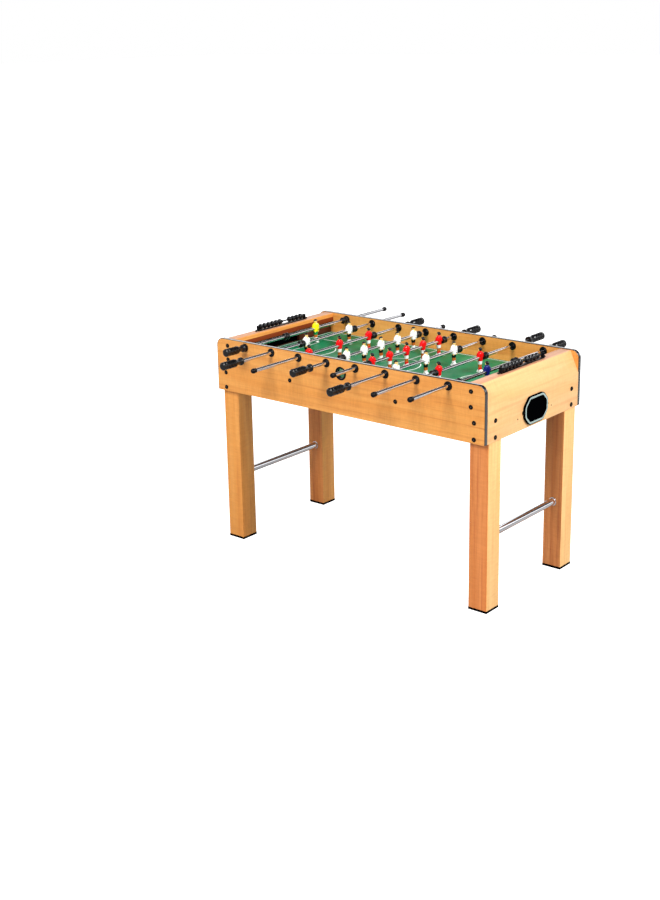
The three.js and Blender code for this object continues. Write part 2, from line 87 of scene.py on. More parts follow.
panel_low, panel_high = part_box("edge_trim_near")
far_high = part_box("edge_trim_far")[1]
field_low, field_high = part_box("playfield")
middle_y = (panel_low.y + far_high.y) / 2
half_length = panel_high.x
half_width = far_high.y - middle_y
panel_thickness = panel_high.y - panel_low.y
panel_top = panel_high.z
field_top = field_high.z
print(f"cabinet {2 * half_length:.3f} m long and {2 * half_width:.3f} m wide, field at {field_top:.3f} m")

# %% [markdown]
# ## The camera
# The camera comes first, because it decides which details have to be good. It stands at the
# near right-hand corner, a little above the table, with a long lens, so that the far end of the
# table is not drawn much smaller than the near one.
# The frame is shifted down a little, so that the upright lines stay nearly upright.

# %% Place the camera
camera_data = bpy.data.cameras.new("camera")
camera = bpy.data.objects.new("camera", camera_data)
bpy.context.scene.collection.objects.link(camera)
focal_length, frame_shift = 53.61, -0.0556
yaw_angle, look_down_angle, roll_angle = 40.16, 15.75, -1.08
camera_data.lens = focal_length
camera_data.shift_y = frame_shift
camera_data.clip_end = 200
camera_yaw = Matrix.Rotation(math.radians(yaw_angle), 4, "Z")
camera_pitch = Matrix.Rotation(math.radians(90 - look_down_angle), 4, "X")
camera_roll = Matrix.Rotation(math.radians(roll_angle), 4, "Z")
camera_place = Vector((2.9036, middle_y - 3.8073, 1.9455))
camera.matrix_world = Matrix.Translation(camera_place) @ camera_yaw @ camera_pitch @ camera_roll
bpy.context.scene.camera = camera
print("camera at", [round(value, 2) for value in camera_place])

# %% [markdown]
# ## The studio
# The surroundings matter most to chrome, which shows nothing but them. Here they are grey at the
# horizon, bright in a band a little above it and dark over that, so that each rod gets light and
# dark lines along its length. Two large soft lamps then give the shape: a strong high one at the
# right-hand end, and a weaker one in front. The camera itself sees only plain white behind the
# table, because the Light Path node tells its rays from all the others.

# %% Surroundings, floor and lamps
scene = bpy.context.scene
scene.view_settings.view_transform = "Standard"
world = bpy.data.worlds.new("studio")
scene.world = world
world.use_nodes = True
sky = world.node_tree
sky_direction = sky.nodes.new("ShaderNodeTexCoord")
sky_height = sky.nodes.new("ShaderNodeSeparateXYZ")
sky_bands = sky.nodes.new("ShaderNodeValToRGB")
sky_seen = sky.nodes.new("ShaderNodeLightPath")
sky_choice = sky.nodes.new("ShaderNodeMix")
sky_choice.data_type = "RGBA"
sky_choice.inputs[7].default_value = (1, 1, 1, 1)
sky.links.new(sky_direction.outputs["Generated"], sky_height.inputs["Vector"])
sky.links.new(sky_height.outputs["Z"], sky_bands.inputs["Fac"])
sky.links.new(sky_seen.outputs["Is Camera Ray"], sky_choice.inputs[0])
sky.links.new(sky_bands.outputs["Color"], sky_choice.inputs[6])
sky.links.new(sky_choice.outputs[2], sky.nodes["Background"].inputs["Color"])
band_levels = ((0.0, 0.4), (0.16, 0.5), (0.2, 2.0), (0.32, 2.0), (0.38, 0.1), (0.75, 0.1), (1.0, 0.25))
while len(sky_bands.color_ramp.elements) < len(band_levels):
    sky_bands.color_ramp.elements.new(1.0)
for stop, (height, level) in zip(sky_bands.color_ramp.elements, band_levels):
    stop.position = height
    stop.color = (level, level, level, 1)

bpy.ops.mesh.primitive_plane_add(size=120, location=(0, 0, 0))
floor = bpy.context.active_object
floor.name = "studio_floor"
floor_paint = bpy.data.materials.new("studio_floor")
floor_paint.use_nodes = True
floor_nodes = floor_paint.node_tree
floor_shader = floor_nodes.nodes["Principled BSDF"]
floor_shader.inputs["Base Color"].default_value = (0.3, 0.3, 0.3, 1)
floor_shader.inputs["Roughness"].default_value = 0.9
floor_shader.inputs["Emission Color"].default_value = (1, 1, 1, 1)
floor_seen = floor_nodes.nodes.new("ShaderNodeLightPath")
floor_glow = floor_nodes.nodes.new("ShaderNodeMath")
floor_glow.operation = "MULTIPLY_ADD"
floor_glow.inputs[1].default_value = 1.2
floor_glow.inputs[2].default_value = 0.1
floor_nodes.links.new(floor_seen.outputs["Is Camera Ray"], floor_glow.inputs[0])
floor_nodes.links.new(floor_glow.outputs[0], floor_shader.inputs["Emission Strength"])
floor.data.materials.append(floor_paint)


def soft_lamp(name, place, size, power):
    """A square soft lamp that looks at the middle of the cabinet."""
    data = bpy.data.lights.new(name, "AREA")
    data.size = size
    data.energy = power
    lamp = bpy.data.objects.new(name, data)
    scene.collection.objects.link(lamp)
    lamp.location = place
    towards = Vector((0, middle_y, field_top)) - Vector(place)
    lamp.rotation_euler = towards.to_track_quat("-Z", "Y").to_euler()
    return lamp


soft_lamp("lamp_right", (6.4, 0.4, 6.6), 3.2, 930)
soft_lamp("lamp_front", (0.2, -7.2, 5.8), 2.6, 600)

# %% [markdown]
# ## Node helpers
# A material is a small program of nodes. Two helpers keep the recipes short: one adds a node and
# fills its sockets, the other starts a node group with named inputs and outputs.

# %% Helpers for nodes


def colour(red, green, blue):
    """A screen colour, 0 to 255, as the linear colour that a shader wants."""
    linear = [((v / 255 + 0.055) / 1.055) ** 2.4 if v > 10 else v / 255 / 12.92 for v in (red, green, blue)]
    return (*linear, 1)


def add_node(tree, kind, inputs=None, **settings):
    """A new node. Each input is a plain value, or another node's output to link."""
    node = tree.nodes.new(kind)
    for key, value in settings.items():
        setattr(node, key, value)
    for key, value in (inputs or {}).items():
        if isinstance(value, bpy.types.NodeSocket):
            tree.links.new(value, node.inputs[key])
        else:
            node.inputs[key].default_value = value
    return node


def math_node(tree, operation, first, second=0.0):
    """The output of a Math node."""
    return add_node(tree, "ShaderNodeMath", {0: first, 1: second}, operation=operation).outputs[0]


def mixed(tree, factor, first, second, blend="MIX"):
    """The colour output of a Mix node."""
    inputs = {0: factor, 6: first, 7: second}
    node = add_node(tree, "ShaderNodeMix", inputs, data_type="RGBA", blend_type=blend)
    return node.outputs[2]


def ramp(tree, factor, low, high):
    """factor stretched, so that low becomes 0 and high becomes 1."""
    inputs = {"Value": factor, "From Min": low, "From Max": high}
    return add_node(tree, "ShaderNodeMapRange", inputs).outputs["Result"]


def noise(tree, vector, stretch, detail=3.0, roughness=0.55, distortion=0.0):
    """A noise value, with the pattern stretched by three scales."""
    stretched = add_node(tree, "ShaderNodeMapping", {"Vector": vector, "Scale": stretch})
    inputs = {
        "Vector": stretched.outputs["Vector"],
        "Scale": 1.0,
        "Detail": detail,
        "Roughness": roughness,
        "Distortion": distortion,
    }
    return add_node(tree, "ShaderNodeTexNoise", inputs).outputs["Fac"]


def start_group(name, inputs, outputs):
    """A node group: its tree, its input node and its output node."""
    tree = bpy.data.node_groups.new(name, "ShaderNodeTree")
    for label, kind, value in inputs:
        socket = tree.interface.new_socket(label, in_out="INPUT", socket_type=kind)
        if value is not None:
            socket.default_value = value
    for label, kind in outputs:
        tree.interface.new_socket(label, in_out="OUTPUT", socket_type=kind)
    return tree, tree.nodes.new("NodeGroupInput"), tree.nodes.new("NodeGroupOutput")


# %% [markdown]
# ## Wood-look laminate
# The boards are chipboard under a printed paper that looks like maple. The print has long streaks
# along the grain, broad light and dark areas, very fine fibres, and a faint ripple across them.
# All four are stretched noise, so one group serves every board, and each material only gives it
# three colours and turns its coordinates so that the grain runs the right way.

# %% The laminate group
VECTOR, COLOUR, FLOAT = "NodeSocketVector", "NodeSocketColor", "NodeSocketFloat"


def laminate_group():
    """Grain along the X of the vector that it is given."""
    tree, given, put_out = start_group(
        "laminate_grain",
        [
            ("Vector", VECTOR, None),
            ("Light", COLOUR, (1, 1, 1, 1)),
            ("Middle", COLOUR, (0.5, 0.5, 0.5, 1)),
            ("Dark", COLOUR, (0.2, 0.2, 0.2, 1)),
            ("Streaks", FLOAT, 0.6),
            ("Roughness", FLOAT, 0.4),
        ],
        [("Color", COLOUR), ("Roughness", FLOAT), ("Height", FLOAT)],
    )
    vector = given.outputs["Vector"]
    streaks = noise(tree, vector, (2.4, 85, 85), 5.0, 0.62, 0.35)
    areas = noise(tree, vector, (1.4, 22, 22), 3.0, 0.5, 0.6)
    fibres = noise(tree, vector, (16, 620, 620), 2.0)
    ripple = noise(tree, vector, (150, 30, 30), 2.0, 0.5, 0.4)
    dark_part = math_node(tree, "MULTIPLY", ramp(tree, streaks, 0.5, 0.76), given.outputs["Streaks"])
    body = mixed(tree, ramp(tree, areas, 0.35, 0.68), given.outputs["Middle"], given.outputs["Light"])
    streaked = mixed(tree, dark_part, body, given.outputs["Dark"])
    shade = math_node(tree, "ADD", ramp(tree, fibres, 0.25, 0.75), ramp(tree, ripple, 0.2, 0.8))
    shaded = mixed(tree, math_node(tree, "MULTIPLY", shade, 0.2), streaked, (0.45, 0.3, 0.2, 1), "MULTIPLY")
    sheen = math_node(tree, "MULTIPLY_ADD", streaks, 0.16)
    sheen.node.inputs[2].default_value = -0.08
    rough = math_node(tree, "ADD", given.outputs["Roughness"], sheen)
    tree.links.new(shaded, put_out.inputs["Color"])
    tree.links.new(rough, put_out.inputs["Roughness"])
    tree.links.new(fibres, put_out.inputs["Height"])
    return tree


laminate_grain = laminate_group()
print("group", laminate_grain.name)

# %% [markdown]
# ## Moulded and painted surfaces
# Plastic, rubber, paint and plated steel are never perfectly even: handling leaves duller patches,
# and the mould leaves a fine texture. One group gives all of them a little variation of colour
# and roughness and a fine height, and each finish sets how much.

# %% The handling group


def handling_group():
    """Uneven gloss and tone, as fingers and a mould leave it."""
    tree, given, put_out = start_group(
        "handling",
        [
            ("Vector", VECTOR, None),
            ("Base", COLOUR, (0.5, 0.5, 0.5, 1)),
            ("Tone", FLOAT, 0.15),
            ("Roughness", FLOAT, 0.4),
            ("Smudges", FLOAT, 0.12),
            ("Grain Size", FLOAT, 900.0),
        ],
        [("Color", COLOUR), ("Roughness", FLOAT), ("Height", FLOAT)],
    )
    vector = given.outputs["Vector"]
    smudges = noise(tree, vector, (34, 34, 34), 3.0, 0.6, 0.4)
    grain = add_node(
        tree, "ShaderNodeTexNoise", {"Vector": vector, "Scale": given.outputs["Grain Size"], "Detail": 1.0}
    ).outputs["Fac"]
    soft = ramp(tree, smudges, 0.3, 0.7)
    tone_part = math_node(tree, "MULTIPLY", soft, given.outputs["Tone"])
    toned = mixed(tree, tone_part, given.outputs["Base"], (1, 1, 1, 1), "SOFT_LIGHT")
    rough = math_node(tree, "MULTIPLY_ADD", soft, given.outputs["Smudges"])
    tree.links.new(given.outputs["Roughness"], rough.node.inputs[2])
    tree.links.new(toned, put_out.inputs["Color"])
    tree.links.new(rough, put_out.inputs["Roughness"])
    tree.links.new(grain, put_out.inputs["Height"])
    return tree


handling = handling_group()
print("group", handling.name)

# %% [markdown]
# ## Finishes
# Each finish is one material around one of the two groups. The group sends its height through a
# Bump node, so that grain and mould texture catch the light without needing any geometry.

# %% Board and moulded finishes


def start_finish(name, group, inputs, bump_distance, bump_strength=0.35, turn=(0, 0, 0)):
    """A material around a group that reads the piece's own coordinates."""
    material = bpy.data.materials.new(name)
    material.use_nodes = True
    tree = material.node_tree
    place = add_node(tree, "ShaderNodeTexCoord").outputs["Object"]
    turned = add_node(tree, "ShaderNodeMapping", {"Vector": place, "Rotation": turn}).outputs["Vector"]
    pattern = add_node(tree, "ShaderNodeGroup", node_tree=group)
    tree.links.new(turned, pattern.inputs["Vector"])
    for label, value in inputs.items():
        pattern.inputs[label].default_value = value
    shader = tree.nodes["Principled BSDF"]
    tree.links.new(pattern.outputs["Color"], shader.inputs["Base Color"])
    tree.links.new(pattern.outputs["Roughness"], shader.inputs["Roughness"])
    inputs = {"Height": pattern.outputs["Height"], "Distance": bump_distance, "Strength": bump_strength}
    bump = add_node(tree, "ShaderNodeBump", inputs)
    tree.links.new(bump.outputs["Normal"], shader.inputs["Normal"])
    return material, shader


def board(name, light, middle, dark, streaks=0.6, rough=0.38, turn=(0, 0, 0)):
    """A printed laminate with its satin top coat."""
    inputs = {"Light": light, "Middle": middle, "Dark": dark, "Streaks": streaks, "Roughness": rough}
    material, shader = start_finish(name, laminate_grain, inputs, 0.0002, 0.15, turn)
    shader.inputs["Specular IOR Level"].default_value = 0.4
    return material


def moulded(
    name, base, rough, metal=0.0, coat=0.0, shine=0.5, tone=0.15, smudges=0.12, grain=900.0, bump=0.00004
):
    """Plastic, rubber, paint or plated steel."""
    inputs = {"Base": base, "Tone": tone, "Roughness": rough, "Smudges": smudges, "Grain Size": grain}
    material, shader = start_finish(name, handling, inputs, bump)
    shader.inputs["Metallic"].default_value = metal
    shader.inputs["Coat Weight"].default_value = coat
    shader.inputs["Specular IOR Level"].default_value = shine
    return material


quarter = math.pi / 2
print("finishes can be made")

# %% [markdown]
# ## The boards' prints
# The long boards, the legs and the ends carry different printed papers. Some rows below are no paper
# of their own but paler or darker copies of the maple: painted light on the hoods' outside and on lit
# leg faces, and painted shade on other leg faces and on the goal walls. Each row is a light, a middle
# and a dark colour, how strong its streaks are, and the turn that lays its grain along the board,
# upright, or across the table.

# %% Eight laminates
along, upright, across = (0, 0, 0), (0, quarter, 0), (0, 0, quarter)
maple_light, maple_middle, maple_dark = colour(242, 174, 92), colour(232, 156, 74), colour(192, 102, 42)
maple = (maple_light, maple_middle, maple_dark)
# A paler copy of the maple: painted light for the lit outer end faces of the right-hand legs.
painted_lit_leg = (colour(244, 200, 136), colour(236, 184, 116), colour(206, 136, 76))
# A darker, redder copy of the maple: painted shade for the legs' front faces.
painted_shade_leg = (colour(226, 148, 84), colour(210, 126, 62), colour(170, 80, 34))
strip = (colour(222, 172, 138), colour(208, 152, 116), colour(178, 112, 74))
# A paler copy of the maple: painted light for the hoods' outside.
painted_lit_end = (colour(240, 192, 134), colour(236, 180, 118), colour(212, 140, 86))
# A dark red-brown: painted shade for the goal walls.
painted_shade_wall = (colour(92, 34, 18), colour(76, 26, 13), colour(44, 12, 6))
maple_long = board("maple_laminate_long", *maple, turn=along)
maple_upright = board("maple_laminate_upright", *maple, 0.5, turn=upright)
painted_lit_upright = board("pale_laminate_upright", *painted_lit_leg, 0.5, turn=upright)
painted_shade_upright = board("red_laminate_upright", *painted_shade_leg, 0.9, turn=upright)
strip_across = board("strip_laminate_across", *strip, 0.5, turn=across)
painted_lit_across = board("pale_laminate_across", *painted_lit_end, 0.55, turn=across)
painted_shade_across = board("dark_laminate_across", *painted_shade_wall, 0.8, turn=across)
# The fascia below its top band is multiplied by this dark red as painted shade.
fascia_height, fascia_painted_shade = mm(15), (0.3, 0.1, 0.06, 1)
hood_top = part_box("end_hood_left")[1].z


def fascia_finish():
    """Maple print along the top of the fascia, and below it the print darkened to a red-brown as painted
    shade.
    """
    inputs = {"Light": maple_light, "Middle": maple_middle, "Dark": maple_dark, "Streaks": 0.8}
    material, shader = start_finish("fascia_laminate", laminate_grain, inputs, 0.0002, 0.15, across)
    tree = material.node_tree
    place = add_node(tree, "ShaderNodeTexCoord").outputs["Object"]
    height = add_node(tree, "ShaderNodeSeparateXYZ", {"Vector": place}).outputs["Z"]
    painted_shade_part = math_node(tree, "LESS_THAN", height, hood_top - fascia_height)
    print_colour = shader.inputs["Base Color"].links[0].from_socket
    # Below the top band the print is darkened: painted shade.
    print_with_painted_shade = mixed(tree, painted_shade_part, print_colour, mixed(tree, 1.0, print_colour, fascia_painted_shade, "MULTIPLY"))
    tree.links.new(print_with_painted_shade, shader.inputs["Base Color"])
    shader.inputs["Specular IOR Level"].default_value = 0.4
    return material


fascia_across = fascia_finish()
print("laminates:", [material.name for material in bpy.data.materials if "laminate" in material.name])

# %% [markdown]
# ## Plastics, rubber and metal
# Black pieces look grey when too much of the bright surroundings shows in them. So their base has
# hardly any gloss of its own, and a thin clear coat adds the small sharp highlights instead.

# %% Moulded finishes
black_gloss = moulded("black_gloss_moulding", colour(8, 8, 10), 0.12, coat=1.0, shine=0.9, smudges=0.05)
bead_black = moulded("bead_black_plastic", colour(5, 5, 9), 0.2, coat=0.45, shine=0.1)
black_satin = moulded("black_satin_plastic", colour(5, 5, 8), 0.3, coat=0.16, shine=0.1)
black_rubber = moulded(
    "black_rubber", colour(5, 5, 8), 0.26, coat=0.4, shine=0.25, grain=1600.0, bump=0.0001
)
grey_green = moulded("grey_green_plastic", colour(148, 166, 162), 0.34, shine=0.25)
pocket_black = moulded("pocket_black_plastic", colour(2, 2, 3), 0.6, shine=0.0)
chrome = moulded(
    "chromed_steel", colour(222, 222, 226), 0.08, metal=1.0, tone=0.05, smudges=0.05, bump=0.00001
)
bolt_black = moulded("blackened_steel", colour(6, 6, 7), 0.3, coat=0.1, shine=0.1)
recess_steel = moulded("recess_steel", colour(84, 78, 74), 0.4, metal=0.5)
nail_brown = moulded("nail_brown", colour(48, 18, 8), 0.45, shine=0.1)
print(len(bpy.data.materials), "materials so far")

# %% [markdown]
# ## The pitch
# The field is a printed board under a clear lacquer. Its lines could be thin strips of geometry,
# but they are printed on the real board, so they are drawn in the material: each line is the
# distance to a simple outline, a circle or a rectangle, compared with half the line's width.

# %% The field's material
pitch_green, cloud_green, line_white = colour(0, 96, 56), colour(14, 144, 98), colour(240, 246, 242)
line_half_width = mm(2.1)
centre_circle = mm(100)
penalty_depth, penalty_half_width = mm(193), mm(165)
goal_area_depth, goal_area_half_width = mm(78), mm(112)
penalty_spot_depth = mm(128)
boundary_inset = mm(9)
spot_radius = mm(3.5)


def line_at(tree, distance):
    """1 where the distance is within half a line's width of 0."""
    return math_node(tree, "LESS_THAN", math_node(tree, "ABSOLUTE", distance), line_half_width)


def box_distance(tree, x, y, half_x, half_y):
    """How far a point lies outside a rectangle: below 0 inside it."""
    side_x = math_node(tree, "SUBTRACT", math_node(tree, "ABSOLUTE", x), half_x)
    side_y = math_node(tree, "SUBTRACT", math_node(tree, "ABSOLUTE", y), half_y)
    return math_node(tree, "MAXIMUM", side_x, side_y)


def circle_distance(tree, x, y, radius):
    """How far a point lies outside a circle."""
    squares = math_node(tree, "ADD", math_node(tree, "MULTIPLY", x, x), math_node(tree, "MULTIPLY", y, y))
    return math_node(tree, "SUBTRACT", math_node(tree, "SQRT", squares), radius)


def pitch_lines(tree, vector):
    """The mask of all the lines, 1 on them and 0 elsewhere."""
    apart = add_node(tree, "ShaderNodeSeparateXYZ", {"Vector": vector})
    x, y = apart.outputs["X"], apart.outputs["Y"]
    reach = field_high.x - boundary_inset
    half_y = (field_high.y - field_low.y) / 2 - boundary_inset
    from_end = math_node(tree, "SUBTRACT", math_node(tree, "ABSOLUTE", x), reach)
    penalty = box_distance(tree, from_end, y, penalty_depth, penalty_half_width)
    goal_area = box_distance(tree, from_end, y, goal_area_depth, goal_area_half_width)
    from_spot = math_node(tree, "ADD", from_end, penalty_spot_depth)
    arc = line_at(tree, circle_distance(tree, from_spot, y, centre_circle))
    outside_penalty = math_node(tree, "GREATER_THAN", penalty, 0.0)
    marks = [
        line_at(tree, x),
        line_at(tree, circle_distance(tree, x, y, centre_circle)),
        line_at(tree, penalty),
        line_at(tree, goal_area),
        math_node(tree, "MULTIPLY", arc, outside_penalty),
        math_node(tree, "LESS_THAN", circle_distance(tree, x, y, spot_radius), 0.0),
        math_node(tree, "LESS_THAN", circle_distance(tree, from_spot, y, spot_radius), 0.0),
    ]
    total = marks[0]
    for mark in marks[1:]:
        total = math_node(tree, "MAXIMUM", total, mark)
    boundary = box_distance(tree, x, y, reach, half_y)
    inside = math_node(tree, "LESS_THAN", boundary, line_half_width)
    total = math_node(tree, "MULTIPLY", total, inside)
    return math_node(tree, "MAXIMUM", total, line_at(tree, boundary))


def pitch_finish():
    """Green print with darker cloudy areas, white lines and a clear gloss."""
    inputs = {"Base": pitch_green, "Tone": 0.3, "Roughness": 0.3, "Smudges": 0.12, "Grain Size": 500.0}
    material, shader = start_finish("green_pitch", handling, inputs, 0.00002)
    tree = material.node_tree
    place = add_node(tree, "ShaderNodeTexCoord").outputs["Object"]
    centred = add_node(tree, "ShaderNodeMapping", {"Vector": place, "Location": (0, -middle_y, 0)})
    clouds = ramp(tree, noise(tree, centred.outputs["Vector"], (9, 9, 9), 2.0, 0.5, 0.8), 0.3, 0.7)
    plain = shader.inputs["Base Color"].links[0].from_socket
    cloudy = mixed(tree, math_node(tree, "MULTIPLY", clouds, 0.7), plain, cloud_green)
    lines = pitch_lines(tree, centred.outputs["Vector"])
    printed = mixed(tree, math_node(tree, "MULTIPLY", lines, 0.95), cloudy, line_white)
    tree.links.new(printed, shader.inputs["Base Color"])
    shader.inputs["Specular IOR Level"].default_value = 0.1
    return material


green_pitch = pitch_finish()
print("pitch", green_pitch.name)

# %% [markdown]
# ## Modelling helpers
# Most small pieces here are turned: drawn out of a flat disc, one extrude and one scale for each
# step of the outline, as on a lathe. An oval section and a moved centre let the same helper draw
# legs, arms and bodies. A bevel modifier then rounds every sharp ring.

# %% Selecting, turning and rounding


def take(*pieces):
    """Selects only these pieces, with the first one active."""
    bpy.ops.object.select_all(action="DESELECT")
    for piece in pieces:
        piece.select_set(True)
    bpy.context.view_layer.objects.active = pieces[0]


def pick(piece, test, kind="faces"):
    """In edit mode, selects only the faces or edges for which test is true."""
    bpy.ops.mesh.select_mode(type="FACE" if kind == "faces" else "EDGE")
    bpy.ops.mesh.select_all(action="DESELECT")
    net = bmesh.from_edit_mesh(piece.data)
    for part in getattr(net, kind):
        part.select_set(bool(test(part)))
    bmesh.update_edit_mesh(piece.data)


def tidy_normals():
    """In edit mode, merges doubles and turns every face outwards."""
    bpy.ops.mesh.select_all(action="SELECT")
    bpy.ops.mesh.remove_doubles(threshold=0.000005)
    bpy.ops.mesh.normals_make_consistent(inside=False)


def drawn_out(name, sections, sides=32, hollow=False):
    """A piece drawn out of a disc along +Z. A section is (height, radius) in millimetres, or
    (height, half x, half y, centre x, centre y). A hollow piece ends on the ring it starts on."""
    full = [(s[0], s[1], s[1], 0, 0) if len(s) == 2 else s for s in sections]
    height, half_x, half_y, x, y = full[0]
    bpy.ops.object.select_all(action="DESELECT")
    bpy.ops.mesh.primitive_circle_add(
        vertices=sides, radius=mm(half_x), fill_type="NGON", location=mm(x, y, height)
    )
    piece = bpy.context.active_object
    piece.name = name
    bpy.ops.object.transform_apply(location=True, rotation=True, scale=True)
    bpy.ops.object.mode_set(mode="EDIT")
    bpy.ops.mesh.select_mode(type="FACE")
    bpy.ops.transform.resize(value=(1, half_y / half_x, 1), center_override=mm(x, y, height))
    for before, after in zip(full, full[1:]):
        step = mm(after[3] - before[3], after[4] - before[4], after[0] - before[0])
        bpy.ops.mesh.extrude_region_move(TRANSFORM_OT_translate={"value": step})
        scale = (after[1] / before[1], after[2] / before[2], 1)
        bpy.ops.transform.resize(value=scale, center_override=mm(after[3], after[4], after[0]))
    if hollow:
        pick(piece, lambda face: len(face.verts) == sides)
        bpy.ops.mesh.delete(type="ONLY_FACE")
    tidy_normals()
    bpy.ops.object.mode_set(mode="OBJECT")
    return piece


def rounded(piece, width, segments=2, angle=35):
    """Rounds the sharp edges with a bevel modifier and applies it."""
    take(piece)
    bevel = piece.modifiers.new("rounding", "BEVEL")
    bevel.width = mm(width)
    bevel.segments = segments
    bevel.limit_method = "ANGLE"
    bevel.angle_limit = math.radians(angle)
    bevel.harden_normals = False
    bpy.ops.object.modifier_apply(modifier=bevel.name)
    return piece


def laid_along(piece, axis):
    """Turns a piece drawn along +Z so that it lies along +X or +Y."""
    turn = Matrix.Rotation(quarter, 4, "Y") if axis == "X" else Matrix.Rotation(-quarter, 4, "X")
    piece.data.transform(turn)
    return piece


def smooth(piece, angle=38):
    """Smooth shading, with the sharp edges kept."""
    take(piece)
    bpy.ops.object.shade_smooth_by_angle(angle=math.radians(angle))
    return piece


def wear(piece, *materials):
    """Gives a piece its materials, in the order of its material slots."""
    worn = piece.data.materials
    for index, material in enumerate(materials):
        if index < len(worn):
            worn[index] = material
        else:
            worn.append(material)
    return piece


def finish_faces(piece, index, test):
    """Gives one of the piece's materials to the faces for which test(centre, normal) is true."""
    for face in piece.data.polygons:
        if test(face.center, face.normal):
            face.material_index = index


def fitted(piece, body):
    """The piece moves with its body."""
    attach(piece, body)
    return piece


def copy_of(pattern, name, place, turn=0.0):
    """A copy with a mesh of its own, turned about +Z and then moved to its place."""
    piece = pattern.copy()
    piece.data = pattern.data.copy()
    piece.name = name
    piece.data.name = name
    piece.data.transform(Matrix.Translation(place) @ Matrix.Rotation(turn, 4, "Z"))
    scene.collection.objects.link(piece)
    return piece


def joined(*pieces):
    """Several pieces as one, named as the first."""
    take(*pieces)
    bpy.ops.object.join()
    return pieces[0]


patterns = []  # finished shapes that only serve to be copied
print("helpers ready")

# %% [markdown]
# ## Boards, rails and feet
# The measured boards have the right shape but knife-sharp edges, and a real board has a small
# rounding that catches a thin line of light. Each is copied, its loose triangles are merged into
# whole faces, and a bevel rounds what is left sharp. The legs' faces then get paler and darker copies
# of the maple print, told apart by where they look: a paler one as painted light on the right-hand
# legs' outer end faces, and a darker, redder one as painted shade on the front faces of all but the
# near left-hand leg. Each foot is made a little wider and taller, so that its cup reaches up round
# the leg.

# %% Soften the cabinet's pieces


def softened(node, width, material, segments=2):
    """A copy of a measured piece with rounded edges, standing for it."""
    piece = nodes[node].copy()
    piece.data = nodes[node].data.copy()
    piece.name = f"{node}_rounded"
    scene.collection.objects.link(piece)
    piece.parent = None
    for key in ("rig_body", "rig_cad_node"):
        del piece[key]
    take(piece)
    bpy.ops.object.mode_set(mode="EDIT")
    bpy.ops.mesh.select_all(action="SELECT")
    bpy.ops.mesh.remove_doubles(threshold=0.00001)
    bpy.ops.mesh.dissolve_limited(angle_limit=math.radians(1))
    bpy.ops.object.mode_set(mode="OBJECT")
    wear(smooth(rounded(piece, width, segments)), material)
    fitted(piece, "cabinet")
    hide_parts(node)
    return piece


foot_spread, foot_stretch = 1.014, 1.5
for side in ("near", "far"):
    softened(f"edge_trim_{side}", 0.9, black_gloss, 3)
    nodes[f"side_panel_{side}"].material_slots[0].material = maple_long
    nodes[f"support_rail_{side}"].material_slots[0].material = maple_long
    for end in ("left", "right"):
        leg = softened(f"leg_{side}_{end}", 1.2, maple_upright, 3)
        wear(leg, maple_upright, painted_lit_upright, painted_shade_upright)
        # Painted light: the right-hand legs' outer end faces get the paler copy of the maple.
        finish_faces(leg, 1, lambda centre, normal: end == "right" and normal.x > 0.95)
        # Painted shade: the front faces of all legs but the near left-hand one get the darker, redder copy.
        finish_faces(leg, 2, lambda centre, normal: (side, end) != ("near", "left") and normal.y < -0.95)
        foot = softened(f"foot_{side}_{end}", 0.6, pocket_black)
        foot_low, foot_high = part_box(f"foot_{side}_{end}")
        centre = (foot_low + foot_high) / 2
        take(foot)
        bpy.ops.object.mode_set(mode="EDIT")
        bpy.ops.mesh.select_all(action="SELECT")
        bpy.ops.transform.resize(value=(foot_spread, foot_spread, 1), center_override=centre)
        sole = (centre.x, centre.y, foot_low.z)
        bpy.ops.transform.resize(value=(1, 1, foot_stretch), center_override=sole)
        bpy.ops.object.mode_set(mode="OBJECT")
for end in ("left", "right"):
    # The goal walls' dark red-brown is painted shade.
    softened(f"goal_wall_{end}", 0.6, painted_shade_across)
    nodes[f"ball_chute_{end}"].material_slots[0].material = black_satin
nodes["playfield"].material_slots[0].material = green_pitch
print("boards, legs and feet rounded")

# %% [markdown]
# ## End hoods
# Each end is one folded board: an upright face, a slope, a flat strip for the score keeper and a
# fascia that hangs inside. The outside is a paler copy of the maple print as painted light, the strip
# is pinkish, the fascia's lower part is darkened as painted shade, and the inside is bare and dark.
# The faces are told apart by the way they look.

# %% The two hoods
for end, outwards in (("left", -1), ("right", 1)):
    hood = softened(f"end_hood_{end}", 0.8, painted_lit_across, 3)
    # The hood's outside wears the paler copy of the maple as painted light.
    wear(hood, painted_lit_across, strip_across, fascia_across, pocket_black)
    fascia_x = min(abs(corner.x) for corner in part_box(f"end_hood_{end}"))
    finish_faces(hood, 1, lambda centre, normal: normal.z > 0.9)
    finish_faces(hood, 2, lambda centre, normal: normal.x * outwards < -0.5)
    finish_faces(
        hood,
        3,
        lambda centre, normal: (
            (normal.x * outwards < -0.5 and abs(centre.x) > fascia_x + mm(3))
            or (normal.z < -0.5 and centre.z > field_top + mm(50))
        ),
    )
print("hoods done, fascia at", round(fascia_x, 3))

# %% [markdown]
# ## Cross bars
# A chromed tube joins the two legs of each end, with a shallow collar against each leg. It is
# drawn out of a disc along its length, and its collars are two more steps of the same outline.

